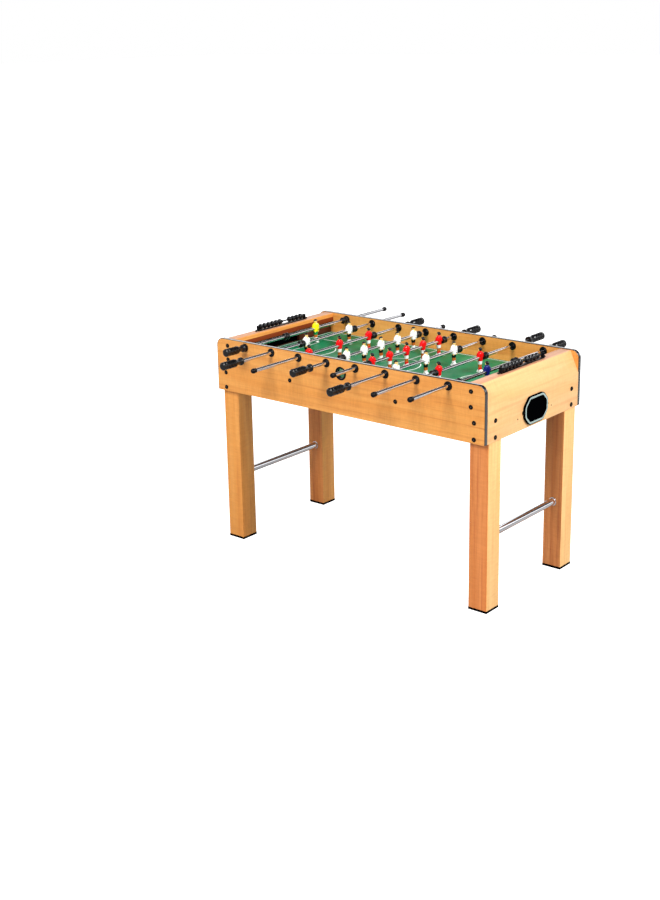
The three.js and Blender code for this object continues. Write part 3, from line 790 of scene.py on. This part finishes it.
# %% The two bars
for end in ("left", "right"):
    low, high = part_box(f"cross_bar_{end}")
    leg_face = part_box(f"leg_near_{end}")[1].y
    bar_radius = (high.x - low.x) / 2 * 1000
    inside = (leg_face - low.y) * 1000
    length = (high.y - low.y) * 1000
    collar = bar_radius + 3
    bar = drawn_out(
        f"cross_bar_{end}_tube",
        [
            (0, bar_radius),
            (inside + 0.4, bar_radius),
            (inside + 0.4, collar),
            (inside + 3, collar),
            (inside + 3, bar_radius),
            (length - inside - 3, bar_radius),
            (length - inside - 3, collar),
            (length - inside - 0.4, collar),
            (length - inside - 0.4, bar_radius),
            (length, bar_radius),
        ],
        48,
    )
    rounded(bar, 0.5)
    laid_along(bar, "Y")
    bar.data.transform(Matrix.Translation(((low.x + high.x) / 2, low.y, (low.z + high.z) / 2)))
    wear(smooth(bar), chrome)
    fitted(bar, "cabinet")
    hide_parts(f"cross_bar_{end}")
print("cross bars", round(length), "mm long")

# %% [markdown]
# ## Bushings
# Each rod runs in two plastic bushings, one in each side panel. A bushing is a sleeve with a thick
# rounded flange outside and a thinner cupped one inside. It is a hollow turned piece, so its
# outline walks round the whole wall and comes back to the ring that it started on.

# %% Sixteen bushings
rod_radius = 6.35
rod_play = 0.35
bore = rod_radius + rod_play
panel_mm = panel_thickness * 1000
inner_flange, outer_flange = 3.0, 4.0
bushing = drawn_out(
    "bushing_pattern",
    [
        (-inner_flange + 1.2, bore),
        (-inner_flange + 1.2, 9.5),
        (-inner_flange, 11.5),
        (-inner_flange, 14.4),
        (-inner_flange + 0.8, 15.4),
        (-0.1, 15.4),
        (-0.1, 9.6),
        (panel_mm + 0.1, 9.6),
        (panel_mm + 0.1, 15.6),
        (panel_mm + outer_flange - 1.2, 15.6),
        (panel_mm + outer_flange - 0.3, 14.6),
        (panel_mm + outer_flange, 12.6),
        (panel_mm + outer_flange, 11.0),
        (panel_mm + outer_flange - 1.4, 9.4),
        (panel_mm + outer_flange - 1.4, bore),
        (-inner_flange + 1.2, bore),
    ],
    40,
    hollow=True,
)
laid_along(bushing, "Y")
wear(smooth(rounded(bushing, 0.3)), black_satin)
patterns.append(bushing)
rod_count = 8
rod_axes = [Vector(joints[f"rod_{number}_turn"]["pos_m"]) for number in range(1, rod_count + 1)]
inner_half = half_width - panel_thickness
for number, axis in enumerate(rod_axes, 1):
    for side, outwards in (("near", -1), ("far", 1)):
        place = (axis.x, middle_y + outwards * inner_half, axis.z)
        piece = copy_of(bushing, f"bushing_{number}_{side}", place, math.pi if outwards < 0 else 0.0)
        fitted(piece, "cabinet")
print(2 * len(rod_axes), "bushings, for rods", round((rod_axes[1].x - rod_axes[0].x) * 1000), "mm apart")

# %% [markdown]
# ## Grips
# A grip has a domed free end, a long body with rows of sunk cells for the fingers, a neck, and a
# round flange on the side of the rod. The body is drawn out in short rings, so that every second
# cell can be picked and pushed in by an inset, and the next row is picked one cell further round.

# %% Eight grips
grip_low, grip_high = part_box("handle_1")
grip_length = (grip_high.y - grip_low.y) * 1000
grip_radius = (grip_high.x - grip_low.x) / 2 * 1000 + 1.0
grip_sides = 32
grip_body_start, grip_cell, grip_rows = 17.0, 8.0, 6
grip_body_end = grip_body_start + grip_cell * grip_rows
grip_rings = [(grip_body_start + grip_cell * row, grip_radius - 0.2) for row in range(grip_rows + 1)]
grip = drawn_out(
    "grip_pattern",
    [
        (0, 5.0),
        (0.5, 9.0),
        (2.0, 12.4),
        (4.4, 14.6),
        (7.5, grip_radius),
        (12, grip_radius),
        (12.8, grip_radius - 1.2),
        (14.6, grip_radius - 1.2),
        (15.4, grip_radius - 0.2),
        *grip_rings,
        (grip_body_end + 3, 13.4),
        (grip_body_end + 7, 10.6),
        (grip_length - 13, 9.6),
        (grip_length - 10.4, 10.2),
        (grip_length - 9.4, 13.4),
        (grip_length - 8, 14.2),
        (grip_length - 1.4, 14.2),
        (grip_length, 13),
        (grip_length, bore),
        (grip_length - 6, bore),
    ],
    grip_sides,
)
take(grip)
bpy.ops.object.mode_set(mode="EDIT")


def sunk_cell(face):
    """True for every second cell of the grip's body, one further round in each row."""
    centre = face.calc_center_median()
    row = math.floor((centre.z * 1000 - grip_body_start) / grip_cell)
    if not 0 <= row < grip_rows or abs(face.normal.z) > 0.2:
        return False
    column = round((math.atan2(centre.y, centre.x) / math.tau) * grip_sides - 0.5)
    return (column // 2 + row) % 2 == 0


pick(grip, sunk_cell)
bpy.ops.mesh.inset(thickness=mm(0.4), depth=-mm(1.3), use_individual=True)
bpy.ops.object.mode_set(mode="OBJECT")
laid_along(grip, "Y")
wear(smooth(grip, 32), black_rubber)
patterns.append(grip)
for number in range(1, rod_count + 1):
    low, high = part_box(f"handle_{number}")
    near = low.y < middle_y
    place = (rod_axes[number - 1].x, low.y if near else high.y, rod_axes[number - 1].z)
    piece = copy_of(grip, f"grip_{number}", place, 0.0 if near else math.pi)
    fitted(piece, f"rod_{number}")
    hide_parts(f"handle_{number}")
print("grips", round(grip_length), "mm long")

# %% [markdown]
# ## Rod caps
# The far end of each rod is closed by a soft plastic cap with a domed end and a thicker lip at its
# mouth. It slides with the rod, and the rod turns in it, so it rides on the sliding body.

# %% Eight caps
cap_low, cap_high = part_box("end_cap_1")
cap_length = (cap_high.y - cap_low.y) * 1000
cap_radius = (cap_high.x - cap_low.x) / 2 * 1000
cap = drawn_out(
    "cap_pattern",
    [
        (5, rod_radius + 0.1),
        (0, rod_radius + 0.1),
        (0, cap_radius - 0.4),
        (0.6, cap_radius + 0.2),
        (2.6, cap_radius + 0.2),
        (3.8, cap_radius - 0.6),
        (6.0, cap_radius + 0.6),
        (9.0, cap_radius + 1.1),
        (cap_length - 5.6, cap_radius + 0.8),
        (cap_length - 3.0, cap_radius - 0.3),
        (cap_length - 1.2, cap_radius - 2.2),
        (cap_length - 0.2, cap_radius - 5.0),
        (cap_length, 1.6),
    ],
    32,
)
laid_along(cap, "Y")
wear(smooth(cap, 45), black_satin)
patterns.append(cap)
for number in range(1, rod_count + 1):
    low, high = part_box(f"end_cap_{number}")
    far = low.y > middle_y
    place = (rod_axes[number - 1].x, low.y if far else high.y, rod_axes[number - 1].z)
    piece = copy_of(cap, f"rod_cap_{number}", place, 0.0 if far else math.pi)
    fitted(piece, f"rod_{number}_cap")
    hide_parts(f"end_cap_{number}")
print("caps", round(cap_length), "mm long")

# %% [markdown]
# ## Bumpers
# Two rubber bumpers on each rod stop it against the bushings. Each is a short tube with a round
# disc at both ends. Their outer faces meet the bushings when the rod has slid all its way.

# %% A bumper to copy
bumper_length, bumper_radius = 24.0, 13.0
bumper = drawn_out(
    "bumper_pattern",
    [
        (0, rod_radius - 0.2),
        (0, 11.6),
        (1.2, bumper_radius),
        (7.2, bumper_radius),
        (8.6, 11.4),
        (9.6, 10.2),
        (14.4, 10.2),
        (15.4, 11.4),
        (16.8, bumper_radius),
        (22.8, bumper_radius),
        (bumper_length, 11.6),
        (bumper_length, rod_radius - 0.2),
        (0, rod_radius - 0.2),
    ],
    40,
    hollow=True,
)
laid_along(bumper, "Y")
wear(smooth(rounded(bumper, 0.4)), black_rubber)
patterns.append(bumper)
print("bumper with", len(bumper.data.polygons), "faces")

# %% [markdown]
# ## Players
# A player is one hollow moulding of hard plastic, painted in stripes of plain colour. The body,
# the arms and the legs are drawn out of ovals, the head is a ball whose hair is pushed out by an
# inset, and the shoes are one wedge that strikes the ball. Every measure is from the rod's axis.

# %% The player's shape
HAIR, SKIN, SHIRT, SHORTS, LEGS, SOCKS, SHOES, CUFFS = range(8)
part_marks = [bpy.data.materials.new(f"player_part_{index}") for index in range(8)]
hem, belt, sock_top, shoe_top, cuff_height = -12.0, 23.6, -36.5, -46.0, -9.0


def striped(piece, bands, otherwise):
    """Marks a part by height: bands holds (lowest height, material index), from the top down."""
    wear(piece, *part_marks)
    for face in piece.data.polygons:
        height = face.center.z * 1000
        face.material_index = next((index for low, index in bands if height > low), otherwise)
    return piece


def player_trunk():
    """Shorts, shirt and neck, with the skin showing in the shirt's neckline."""
    sections = [
        (-25.5, 5.4, 7.6, 0, 0),
        (-24.5, 6.8, 9.0, 0, 0),
        (-18, 7.4, 9.4, 0, 0),
        (hem, 7.6, 9.6, 0, 0),
        (hem, 8.6, 10.8, 0, 0),
        (-6, 9.2, 11.4, 0, 0),
        (3, 9.6, 12.2, 0, 0),
        (12, 9.2, 12.8, 0, 0),
        (17.5, 8.0, 12.2, 0, 0),
        (20.6, 6.4, 9.2, 0, 0),
        (22.6, 4.8, 6.2, 0, 0),
        (belt, 4.0, 4.6, 0, 0),
        (belt, 3.4, 3.8, 0, 0),
        (26, 3.2, 3.4, 0, 0),
    ]
    trunk = drawn_out("player_pattern", sections, 28)
    striped(trunk, [(belt - 0.05, SKIN), (hem - 0.05, SHIRT)], SHORTS)

    def neckline(centre, normal):
        return centre.x > abs(centre.y) * 1.3 and centre.z > mm(17) and normal.z < 0.95

    finish_faces(trunk, SKIN, neckline)
    return trunk


def player_head():
    """A ball with short hair standing out from it, a nose and two ears."""
    bpy.ops.object.select_all(action="DESELECT")
    bpy.ops.mesh.primitive_uv_sphere_add(segments=20, ring_count=14, radius=mm(7), location=mm(0, 0, 28.6))
    head = bpy.context.active_object
    head.scale = (1.0, 0.9, 1.0)
    bpy.ops.object.transform_apply(location=False, rotation=False, scale=True)
    bpy.ops.object.transform_apply(location=True)
    striped(head, [], SKIN)

    def in_hair(centre, normal):
        return centre.z > mm(30) or (centre.x < mm(-0.5) and centre.z > mm(26))

    def in_ear(face):
        return abs(face.normal.y) > 0.97 and abs(face.calc_center_median().z - mm(28.6)) < mm(1.2)

    finish_faces(head, HAIR, in_hair)
    bpy.ops.object.mode_set(mode="EDIT")
    pick(head, lambda face: face.material_index == HAIR)
    bpy.ops.mesh.inset(thickness=mm(0.25), depth=mm(0.8))
    pick(head, lambda face: face.normal.x > 0.96 and mm(26.6) < face.calc_center_median().z < mm(29))
    bpy.ops.mesh.inset(thickness=mm(0.35), depth=mm(1.1))
    pick(head, in_ear)
    bpy.ops.mesh.inset(thickness=mm(0.2), depth=mm(0.7))
    bpy.ops.object.mode_set(mode="OBJECT")
    return head


def player_arm(side):
    """A sleeve bent at the elbow, with a cuff, and the hand on the hip."""
    sections = [
        (18.6, 2.6, 1.8, 0, side * 9.4),
        (17, 5.2, 3.4, 0, side * 11.2),
        (11, 7.0, 3.9, 0, side * 12.0),
        (3, 7.2, 3.8, 0, side * 12.2),
        (-2.5, 6.0, 3.6, 0.8, side * 12.0),
        (-6.5, 4.4, 3.2, 2.6, side * 11.2),
        (cuff_height, 3.7, 3.0, 3.8, side * 10.6),
        (-11, 3.2, 2.8, 4.6, side * 10.0),
        (-13.4, 2.6, 2.6, 5.4, side * 9.2),
        (-15, 1.4, 1.6, 5.6, side * 8.8),
    ]
    arm = drawn_out("arm", sections, 16)
    return striped(arm, [(cuff_height, SHIRT), (-11.2, CUFFS)], SKIN)


def player_leg(side):
    """A thigh, a knee and a sock."""
    sections = [
        (-23, 5.2, 4.3, 0, side * 4.2),
        (-30, 4.8, 3.9, 0, side * 4.0),
        (-33.5, 4.5, 3.6, 0.3, side * 3.9),
        (sock_top, 4.3, 3.5, 0, side * 3.8),
        (sock_top, 4.7, 3.9, 0, side * 3.8),
        (-41, 4.8, 3.9, -0.3, side * 3.8),
        (-47, 4.2, 3.6, 0, side * 3.8),
    ]
    leg = drawn_out("leg", sections, 16)
    return striped(leg, [(sock_top + 0.1, LEGS)], SOCKS)


def player_shoes():
    """A wedge: narrow where the socks go in, and wide and flat where it meets the ball."""
    sole, top = -54.0, shoe_top
    bpy.ops.object.select_all(action="DESELECT")
    middle, size = mm(0, 0, (sole + top) / 2), mm(22, 15.6, top - sole)
    bpy.ops.mesh.primitive_cube_add(size=1, location=middle, scale=size)
    shoes = bpy.context.active_object
    bpy.ops.object.transform_apply(location=True, rotation=True, scale=True)
    bpy.ops.object.mode_set(mode="EDIT")
    pick(shoes, lambda face: face.normal.z > 0.9)
    bpy.ops.transform.resize(value=(0.62, 0.92, 1), center_override=mm(0, 0, top))
    bpy.ops.mesh.inset(thickness=mm(1.4), depth=mm(1.6))
    bpy.ops.object.mode_set(mode="OBJECT")
    return striped(rounded(shoes, 1.3, 3), [], SHOES)


player = joined(
    player_trunk(),
    player_head(),
    player_arm(1),
    player_arm(-1),
    player_leg(1),
    player_leg(-1),
    player_shoes(),
)
smooth(player, 42)
patterns.append(player)
print("player with", len(player.data.polygons), "faces")

# %% [markdown]
# ## The paints
# Each team is a list of paints in the order of the player's parts. All of them are the same gloss
# enamel from the handling group, so a team is only a choice of colours.

# %% Team colours


def enamel(name, *rgb):
    """One colour of gloss enamel."""
    return moulded(f"enamel_{name}", colour(*rgb), 0.24, coat=0.2, shine=0.16, tone=0.12, smudges=0.1)


paint = {
    "hair": enamel("hair", 8, 7, 7),
    "skin": enamel("skin", 242, 200, 120),
    "tan": enamel("tan", 196, 104, 40),
    "white": enamel("white", 238, 238, 236),
    "black": enamel("black", 8, 8, 10),
    "red": enamel("red", 214, 8, 14),
    "yellow": enamel("yellow", 240, 224, 20),
    "green": enamel("green", 20, 132, 66),
    "navy": enamel("navy", 14, 24, 96),
}
team_paints = {
    "white": ("hair", "skin", "white", "black", "tan", "white", "white", "skin"),
    "red": ("hair", "skin", "red", "white", "tan", "red", "white", "white"),
    "yellow": ("hair", "skin", "yellow", "green", "tan", "white", "white", "yellow"),
    "blue": ("hair", "skin", "navy", "white", "tan", "navy", "white", "white"),
}
print("teams", list(team_paints))

# %% [markdown]
# ## Screws
# The players are held by a small screw low on the front, and the boards by bolts with a socket in
# the head. Both are turned: a low dome, then the wall of the socket going back in.

# %% Bolt, screw and nail to copy


def headed(name, radius, height, socket_radius, socket_depth, sides=24):
    """A bolt's head along +Z, with a socket whose floor is painted lighter as a painted highlight."""
    head = drawn_out(
        name,
        [
            (0, radius),
            (height * 0.45, radius),
            (height * 0.85, radius * 0.86),
            (height, radius * 0.66),
            (height, socket_radius),
            (height - socket_depth, socket_radius * 0.94),
        ],
        sides,
    )
    smooth(rounded(head, height * 0.1, 2, 50), 40)
    wear(head, bolt_black, recess_steel)
    floor_at = mm(height - socket_depth)
    # The socket's floor gets the lighter steel as a painted highlight.
    finish_faces(head, 1, lambda centre, normal: normal.z > 0.9 and abs(centre.z - floor_at) < 0.0001)
    patterns.append(head)
    return head


panel_bolt = laid_along(headed("panel_bolt_pattern", 8.0, 3.4, 2.2, 1.6), "Y")
hood_bolt = laid_along(headed("hood_bolt_pattern", 8.2, 3.2, 2.4, 1.4), "X")
player_screw = laid_along(headed("player_screw_pattern", 2.3, 1.2, 0.9, 0.6, 16), "X")
cup_screw = laid_along(headed("cup_screw_pattern", 3.6, 1.6, 1.5, 1.0, 20), "X")
nail = drawn_out("nail_pattern", [(-1, 2.8), (0, 2.8), (0.5, 2.2)], 16)
wear(laid_along(nail, "X"), nail_brown)
patterns.append(nail)
print("fasteners to copy:", [pattern.name for pattern in patterns[-5:]])

# %% [markdown]
# ## The eight rods
# Each rod is a chromed tube with its bumpers and players. The slide joint says how far the rod
# travels and where it rests, so the players' places follow from it, and the players of the two
# teams face opposite ways.

# %% Rods, bumpers and players
player_spacing = {1: 0.0, 2: 254.0, 3: 174.0, 5: 101.0}
rod_teams = (
    (1, "yellow"),
    (2, "white"),
    (3, "red"),
    (5, "white"),
    (5, "red"),
    (3, "white"),
    (2, "red"),
    (1, "blue"),
)
stop_gap = 0.5
screw_place = mm(8.6, 4.2, -6.5)
player_total = 0
for number, (count, team) in enumerate(rod_teams, 1):
    body = f"rod_{number}"
    node = f"rod_{number}_{team}_men"
    axis = rod_axes[number - 1]
    low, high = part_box(node)
    slide_low, slide_high = joints[f"rod_{number}_slide"]["range_m"]
    rest_middle = middle_y - (slide_low + slide_high) / 2
    travel = (slide_high - slide_low) / 2
    tube = drawn_out(f"{body}_tube", [(0, rod_radius), ((high.y - low.y) * 1000, rod_radius)], 32)
    laid_along(tube, "Y")
    tube.data.transform(Matrix.Translation((axis.x, low.y, axis.z)))
    wear(smooth(rounded(tube, 0.6)), chrome)
    fitted(tube, body)
    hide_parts(node)
    outer_face = inner_half - travel - mm(inner_flange + stop_gap)
    for side, outwards in (("near", -1), ("far", 1)):
        start = rest_middle + outwards * outer_face - (mm(bumper_length) if outwards > 0 else 0)
        piece = copy_of(bumper, f"bumper_{number}_{side}", (axis.x, start, axis.z))
        fitted(piece, body)
    facing = 0.0 if team in ("yellow", "white") else math.pi
    for k in range(count):
        y = rest_middle + mm((k - (count - 1) / 2) * player_spacing[count])
        piece = copy_of(player, f"player_{number}_{k + 1}", (axis.x, y, axis.z), facing)
        wear(piece, *[paint[name] for name in team_paints[team]])
        fitted(piece, body)
        spot = Vector((axis.x, y, axis.z)) + Matrix.Rotation(facing, 3, "Z") @ screw_place
        screw = copy_of(player_screw, f"player_screw_{number}_{k + 1}", spot, facing)
        fitted(screw, body)
        player_total += 1
print(player_total, "players on", len(rod_teams), "rods")

# %% [markdown]
# ## Bolts and nails
# Bolts with a socket head hold the side panels to the legs and the ends, and four more at each end
# hold the hood. Two small nails sit beside each return cup. Their places are measured from the
# panel's top and ends, so they stay on their boards.

# %% Bolts on the panels and the hoods
panel_bolts = ((56, 26), (56, 79), (43, 131), (43, 188), (365, 112))  # from the end, below the top
hood_bolts = ((245, 129), (245, 187))  # from the middle, below the top
hood_nail = (108, 158)
for side, outwards in (("near", -1), ("far", 1)):
    face_y = middle_y + outwards * half_width
    for end, along in (("left", -1), ("right", 1)):
        for k, (inset, drop) in enumerate(panel_bolts, 1):
            place = (along * (half_length - mm(inset)), face_y, panel_top - mm(drop))
            turn = math.pi if outwards < 0 else 0.0
            fitted(copy_of(panel_bolt, f"bolt_{side}_{end}_{k}", place, turn), "cabinet")
        face_x = along * half_length
        turn = math.pi if along < 0 else 0.0
        for k, (reach, drop) in enumerate(hood_bolts, 1):
            place = (face_x, middle_y + outwards * mm(reach), panel_top - mm(drop))
            bolt = copy_of(hood_bolt, f"hood_bolt_{end}_{side}_{k}", place, turn)
            fitted(bolt, "cabinet")
        place = (face_x, middle_y + outwards * mm(hood_nail[0]), panel_top - mm(hood_nail[1]))
        fitted(copy_of(nail, f"hood_nail_{end}_{side}", place, turn), "cabinet")
print("panel bolts", 4 * len(panel_bolts), "and hood bolts", 4 * len(hood_bolts))

# %% [markdown]
# ## Return cups
# The ball comes out of a cup in each end: a frame like a rectangle with its corners cut off, a deep
# black pocket, and an ear with a screw on both sides. It starts as a cube whose four long edges are
# bevelled twice, once for the cut corner and once to soften it, and the pocket is an inset pushed in.

# %% The two cups


def return_cup(end, outwards):
    """One cup, made for the right-hand end and turned round for the left-hand one."""
    low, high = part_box(f"return_cup_{end}")
    width, height = mm(150), high.z - low.z
    front = max(abs(low.x), abs(high.x)) + mm(4)
    middle_z = (low.z + high.z) / 2
    rim, flange, depth = mm(10), mm(6.5), mm(44.5)
    bpy.ops.object.select_all(action="DESELECT")
    plate_middle, plate_size = (front - flange / 2, 0, 0), (flange, width, height)
    bpy.ops.mesh.primitive_cube_add(size=1, location=plate_middle, scale=plate_size)
    cup = bpy.context.active_object
    cup.name = f"return_cup_{end}_moulding"
    bpy.ops.object.transform_apply(location=True, rotation=True, scale=True)
    bpy.ops.object.mode_set(mode="EDIT")

    def along_x(edge):
        across = edge.verts[0].co - edge.verts[1].co
        return abs(across.x) > abs(across.y) + abs(across.z)

    pick(cup, along_x, "edges")
    bpy.ops.mesh.bevel(offset=mm(30), segments=1, affect="EDGES", clamp_overlap=False)
    pick(cup, along_x, "edges")
    bpy.ops.mesh.bevel(offset=mm(9), segments=6, affect="EDGES", clamp_overlap=False)
    pick(cup, lambda face: face.normal.x > 0.9)
    bpy.ops.mesh.inset(thickness=rim * 0.3, depth=mm(1.2))
    bpy.ops.mesh.inset(thickness=rim * 0.7, depth=0)
    bpy.ops.mesh.inset(thickness=mm(0.6), depth=-mm(1.6))
    bpy.ops.mesh.extrude_region_move(TRANSFORM_OT_translate={"value": (-depth, 0, 0)})
    bpy.ops.transform.resize(value=(1, 0.94, 0.92), center_override=(front - depth, 0, 0))
    bpy.ops.object.mode_set(mode="OBJECT")
    rounded(cup, 0.5, 2, 30)
    ears = []
    for side in (-1, 1):
        ear = drawn_out("ear", [(0, 6.4), (3.6, 6.4), (4.2, 5.6)], 24)
        laid_along(ear, "X")
        ear.data.transform(Matrix.Translation((front - flange, side * (width / 2), 0)))
        ears.append(ear)
    joined(cup, *ears)
    wear(smooth(cup, 30), grey_green, pocket_black)
    inside_y, inside_z = width / 2 - rim - mm(0.2), height / 2 - rim - mm(0.2)

    def in_pocket(centre, normal):
        return centre.x < front - mm(0.9) and abs(centre.y) < inside_y and abs(centre.z) < inside_z

    finish_faces(cup, 1, in_pocket)
    # The frame's sides and the sloped outer edge of its rim are black as painted shade; the ears are black
    # plastic.
    finish_faces(cup, 1, lambda centre, normal: abs(normal.x) < 0.97 or abs(centre.y) > width / 2)
    turn = Matrix.Rotation(0.0 if outwards > 0 else math.pi, 4, "Z")
    cup.data.transform(Matrix.Translation((0, middle_y, middle_z)) @ turn)
    fitted(cup, "cabinet")
    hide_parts(f"return_cup_{end}")
    for side, across in (("near", -1), ("far", 1)):
        place = (outwards * (front - flange + mm(4.2)), middle_y + across * (width / 2 + mm(1.5)), middle_z)
        screw = copy_of(cup_screw, f"cup_screw_{end}_{side}", place, 0.0 if outwards > 0 else math.pi)
        fitted(screw, "cabinet")


return_cup("right", 1)
return_cup("left", -1)
print("return cups made")

# %% [markdown]
# ## The serving hole
# A ball is served through a black sleeve in the near side. It is a hollow turned piece like the
# bushings, with a wide rounded flange, and one can look through it onto the field.

# %% The serving sleeve
cup_low, cup_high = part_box("serve_cup")
flange_radius = (cup_high.x - cup_low.x) / 2 * 1000
sleeve_length = (cup_high.y - cup_low.y) * 1000
sleeve = drawn_out(
    "serving_sleeve",
    [
        (0, 18.5),
        (0, flange_radius - 2.4),
        (0.9, flange_radius - 0.8),
        (2.4, flange_radius),
        (2.7, flange_radius),
        (2.7, 20.3),
        (sleeve_length, 20.3),
        (sleeve_length, 18.7),
        (2.2, 18.7),
        (0, 18.5),
    ],
    48,
    hollow=True,
)
laid_along(sleeve, "Y")
sleeve.data.transform(
    Matrix.Translation(((cup_low.x + cup_high.x) / 2, cup_low.y, (cup_low.z + cup_high.z) / 2))
)
wear(smooth(rounded(sleeve, 0.3)), black_satin)
fitted(sleeve, "cabinet")
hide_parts("serve_cup")
print("serving sleeve", round(2 * flange_radius), "mm across")

# %% [markdown]
# ## Score keepers
# A score keeper is a flat base with two end brackets, a rounded tab outside each of them, and a
# wire in between. The base, brackets and tabs are cubes with their edges bevelled, and the wire is
# a turned bar.

# %% Base, brackets and wire


def bevelled_block(name, low, high, width, segments=3):
    """A block between two corners, in metres, with rounded edges."""
    bpy.ops.object.select_all(action="DESELECT")
    bpy.ops.mesh.primitive_cube_add(size=1, location=(low + high) / 2, scale=high - low)
    block = bpy.context.active_object
    block.name = name
    bpy.ops.object.transform_apply(location=True, rotation=True, scale=True)
    return rounded(block, width, segments)


bracket_thickness, base_thickness, wire_radius = mm(6), mm(3), 2.7
tab_reach, tab_margin, tab_height = mm(13), mm(3), mm(7)
for end in ("left", "right"):
    low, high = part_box(f"score_rail_{end}")
    bead_low, bead_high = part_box(f"score_beads_{end}_near")
    wire_z = (bead_low.z + bead_high.z) / 2
    middle_x = (low.x + high.x) / 2
    base_high = Vector((high.x, high.y, low.z + base_thickness))
    rail = bevelled_block(f"score_base_{end}", low.copy(), base_high, 1.0)
    ends = []
    for start in (low.y, high.y - bracket_thickness):
        bracket_low = Vector((low.x, start, low.z))
        bracket_high = Vector((high.x, start + bracket_thickness, high.z))
        ends.append(bevelled_block("bracket", bracket_low, bracket_high, 1.8))
    for start in (low.y - tab_reach, high.y - bracket_thickness):
        tab_low = Vector((low.x + tab_margin, start, low.z))
        tab_high = Vector((high.x - tab_margin, start + tab_reach + bracket_thickness, low.z + tab_height))
        ends.append(bevelled_block("tab", tab_low, tab_high, 3.2))
    wire = drawn_out("wire", [(0, wire_radius), ((high.y - low.y) * 1000 - 6, wire_radius)], 16)
    laid_along(wire, "Y")
    wire.data.transform(Matrix.Translation((middle_x, low.y + mm(3), wire_z)))
    joined(rail, *ends, wire)
    wear(smooth(rail), black_satin)
    fitted(rail, "cabinet")
    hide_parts(f"score_rail_{end}")
print("score keepers", round((high.y - low.y) * 1000), "mm long")

# %% [markdown]
# ## Score beads
# The beads are discs with a broad rounded rim and a narrow hub that keeps them apart, which makes
# the row look like a saw. One bead is modelled, and each stack is a row of its copies, joined,
# because a stack slides as one piece.

# %% Four stacks of beads
bead_pitch = 22.0
bead = drawn_out(
    "bead_pattern",
    [
        (0.15, 2.8),
        (0.15, 5.4),
        (1.8, 6.0),
        (3.0, 10.0),
        (4.2, 11.2),
        (8.0, 11.2),
        (10.4, 10.0),
        (17.5, 6.4),
        (20.5, 5.6),
        (bead_pitch - 0.15, 5.4),
        (bead_pitch - 0.15, 2.8),
        (0.15, 2.8),
    ],
    28,
    hollow=True,
)
laid_along(bead, "Y")
wear(smooth(rounded(bead, 0.5)), bead_black)
patterns.append(bead)
for end in ("left", "right"):
    for side in ("near", "far"):
        node = f"score_beads_{end}_{side}"
        low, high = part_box(node)
        count = round((high.y - low.y) / mm(bead_pitch))
        row = []
        for k in range(count):
            place = ((low.x + high.x) / 2, low.y + k * mm(bead_pitch), (low.z + high.z) / 2)
            row.append(copy_of(bead, f"bead_stack_{end}_{side}" if k == 0 else "bead", place))
        stack = joined(*row)
        fitted(stack, node)
        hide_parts(node)
        print(end, side, count, "beads")

# %% [markdown]
# ## Clearing up
# The shapes that only served to be copied are removed.

# %% Remove the patterns
for pattern in patterns:
    bpy.data.objects.remove(pattern)
for mark in part_marks:
    bpy.data.materials.remove(mark)
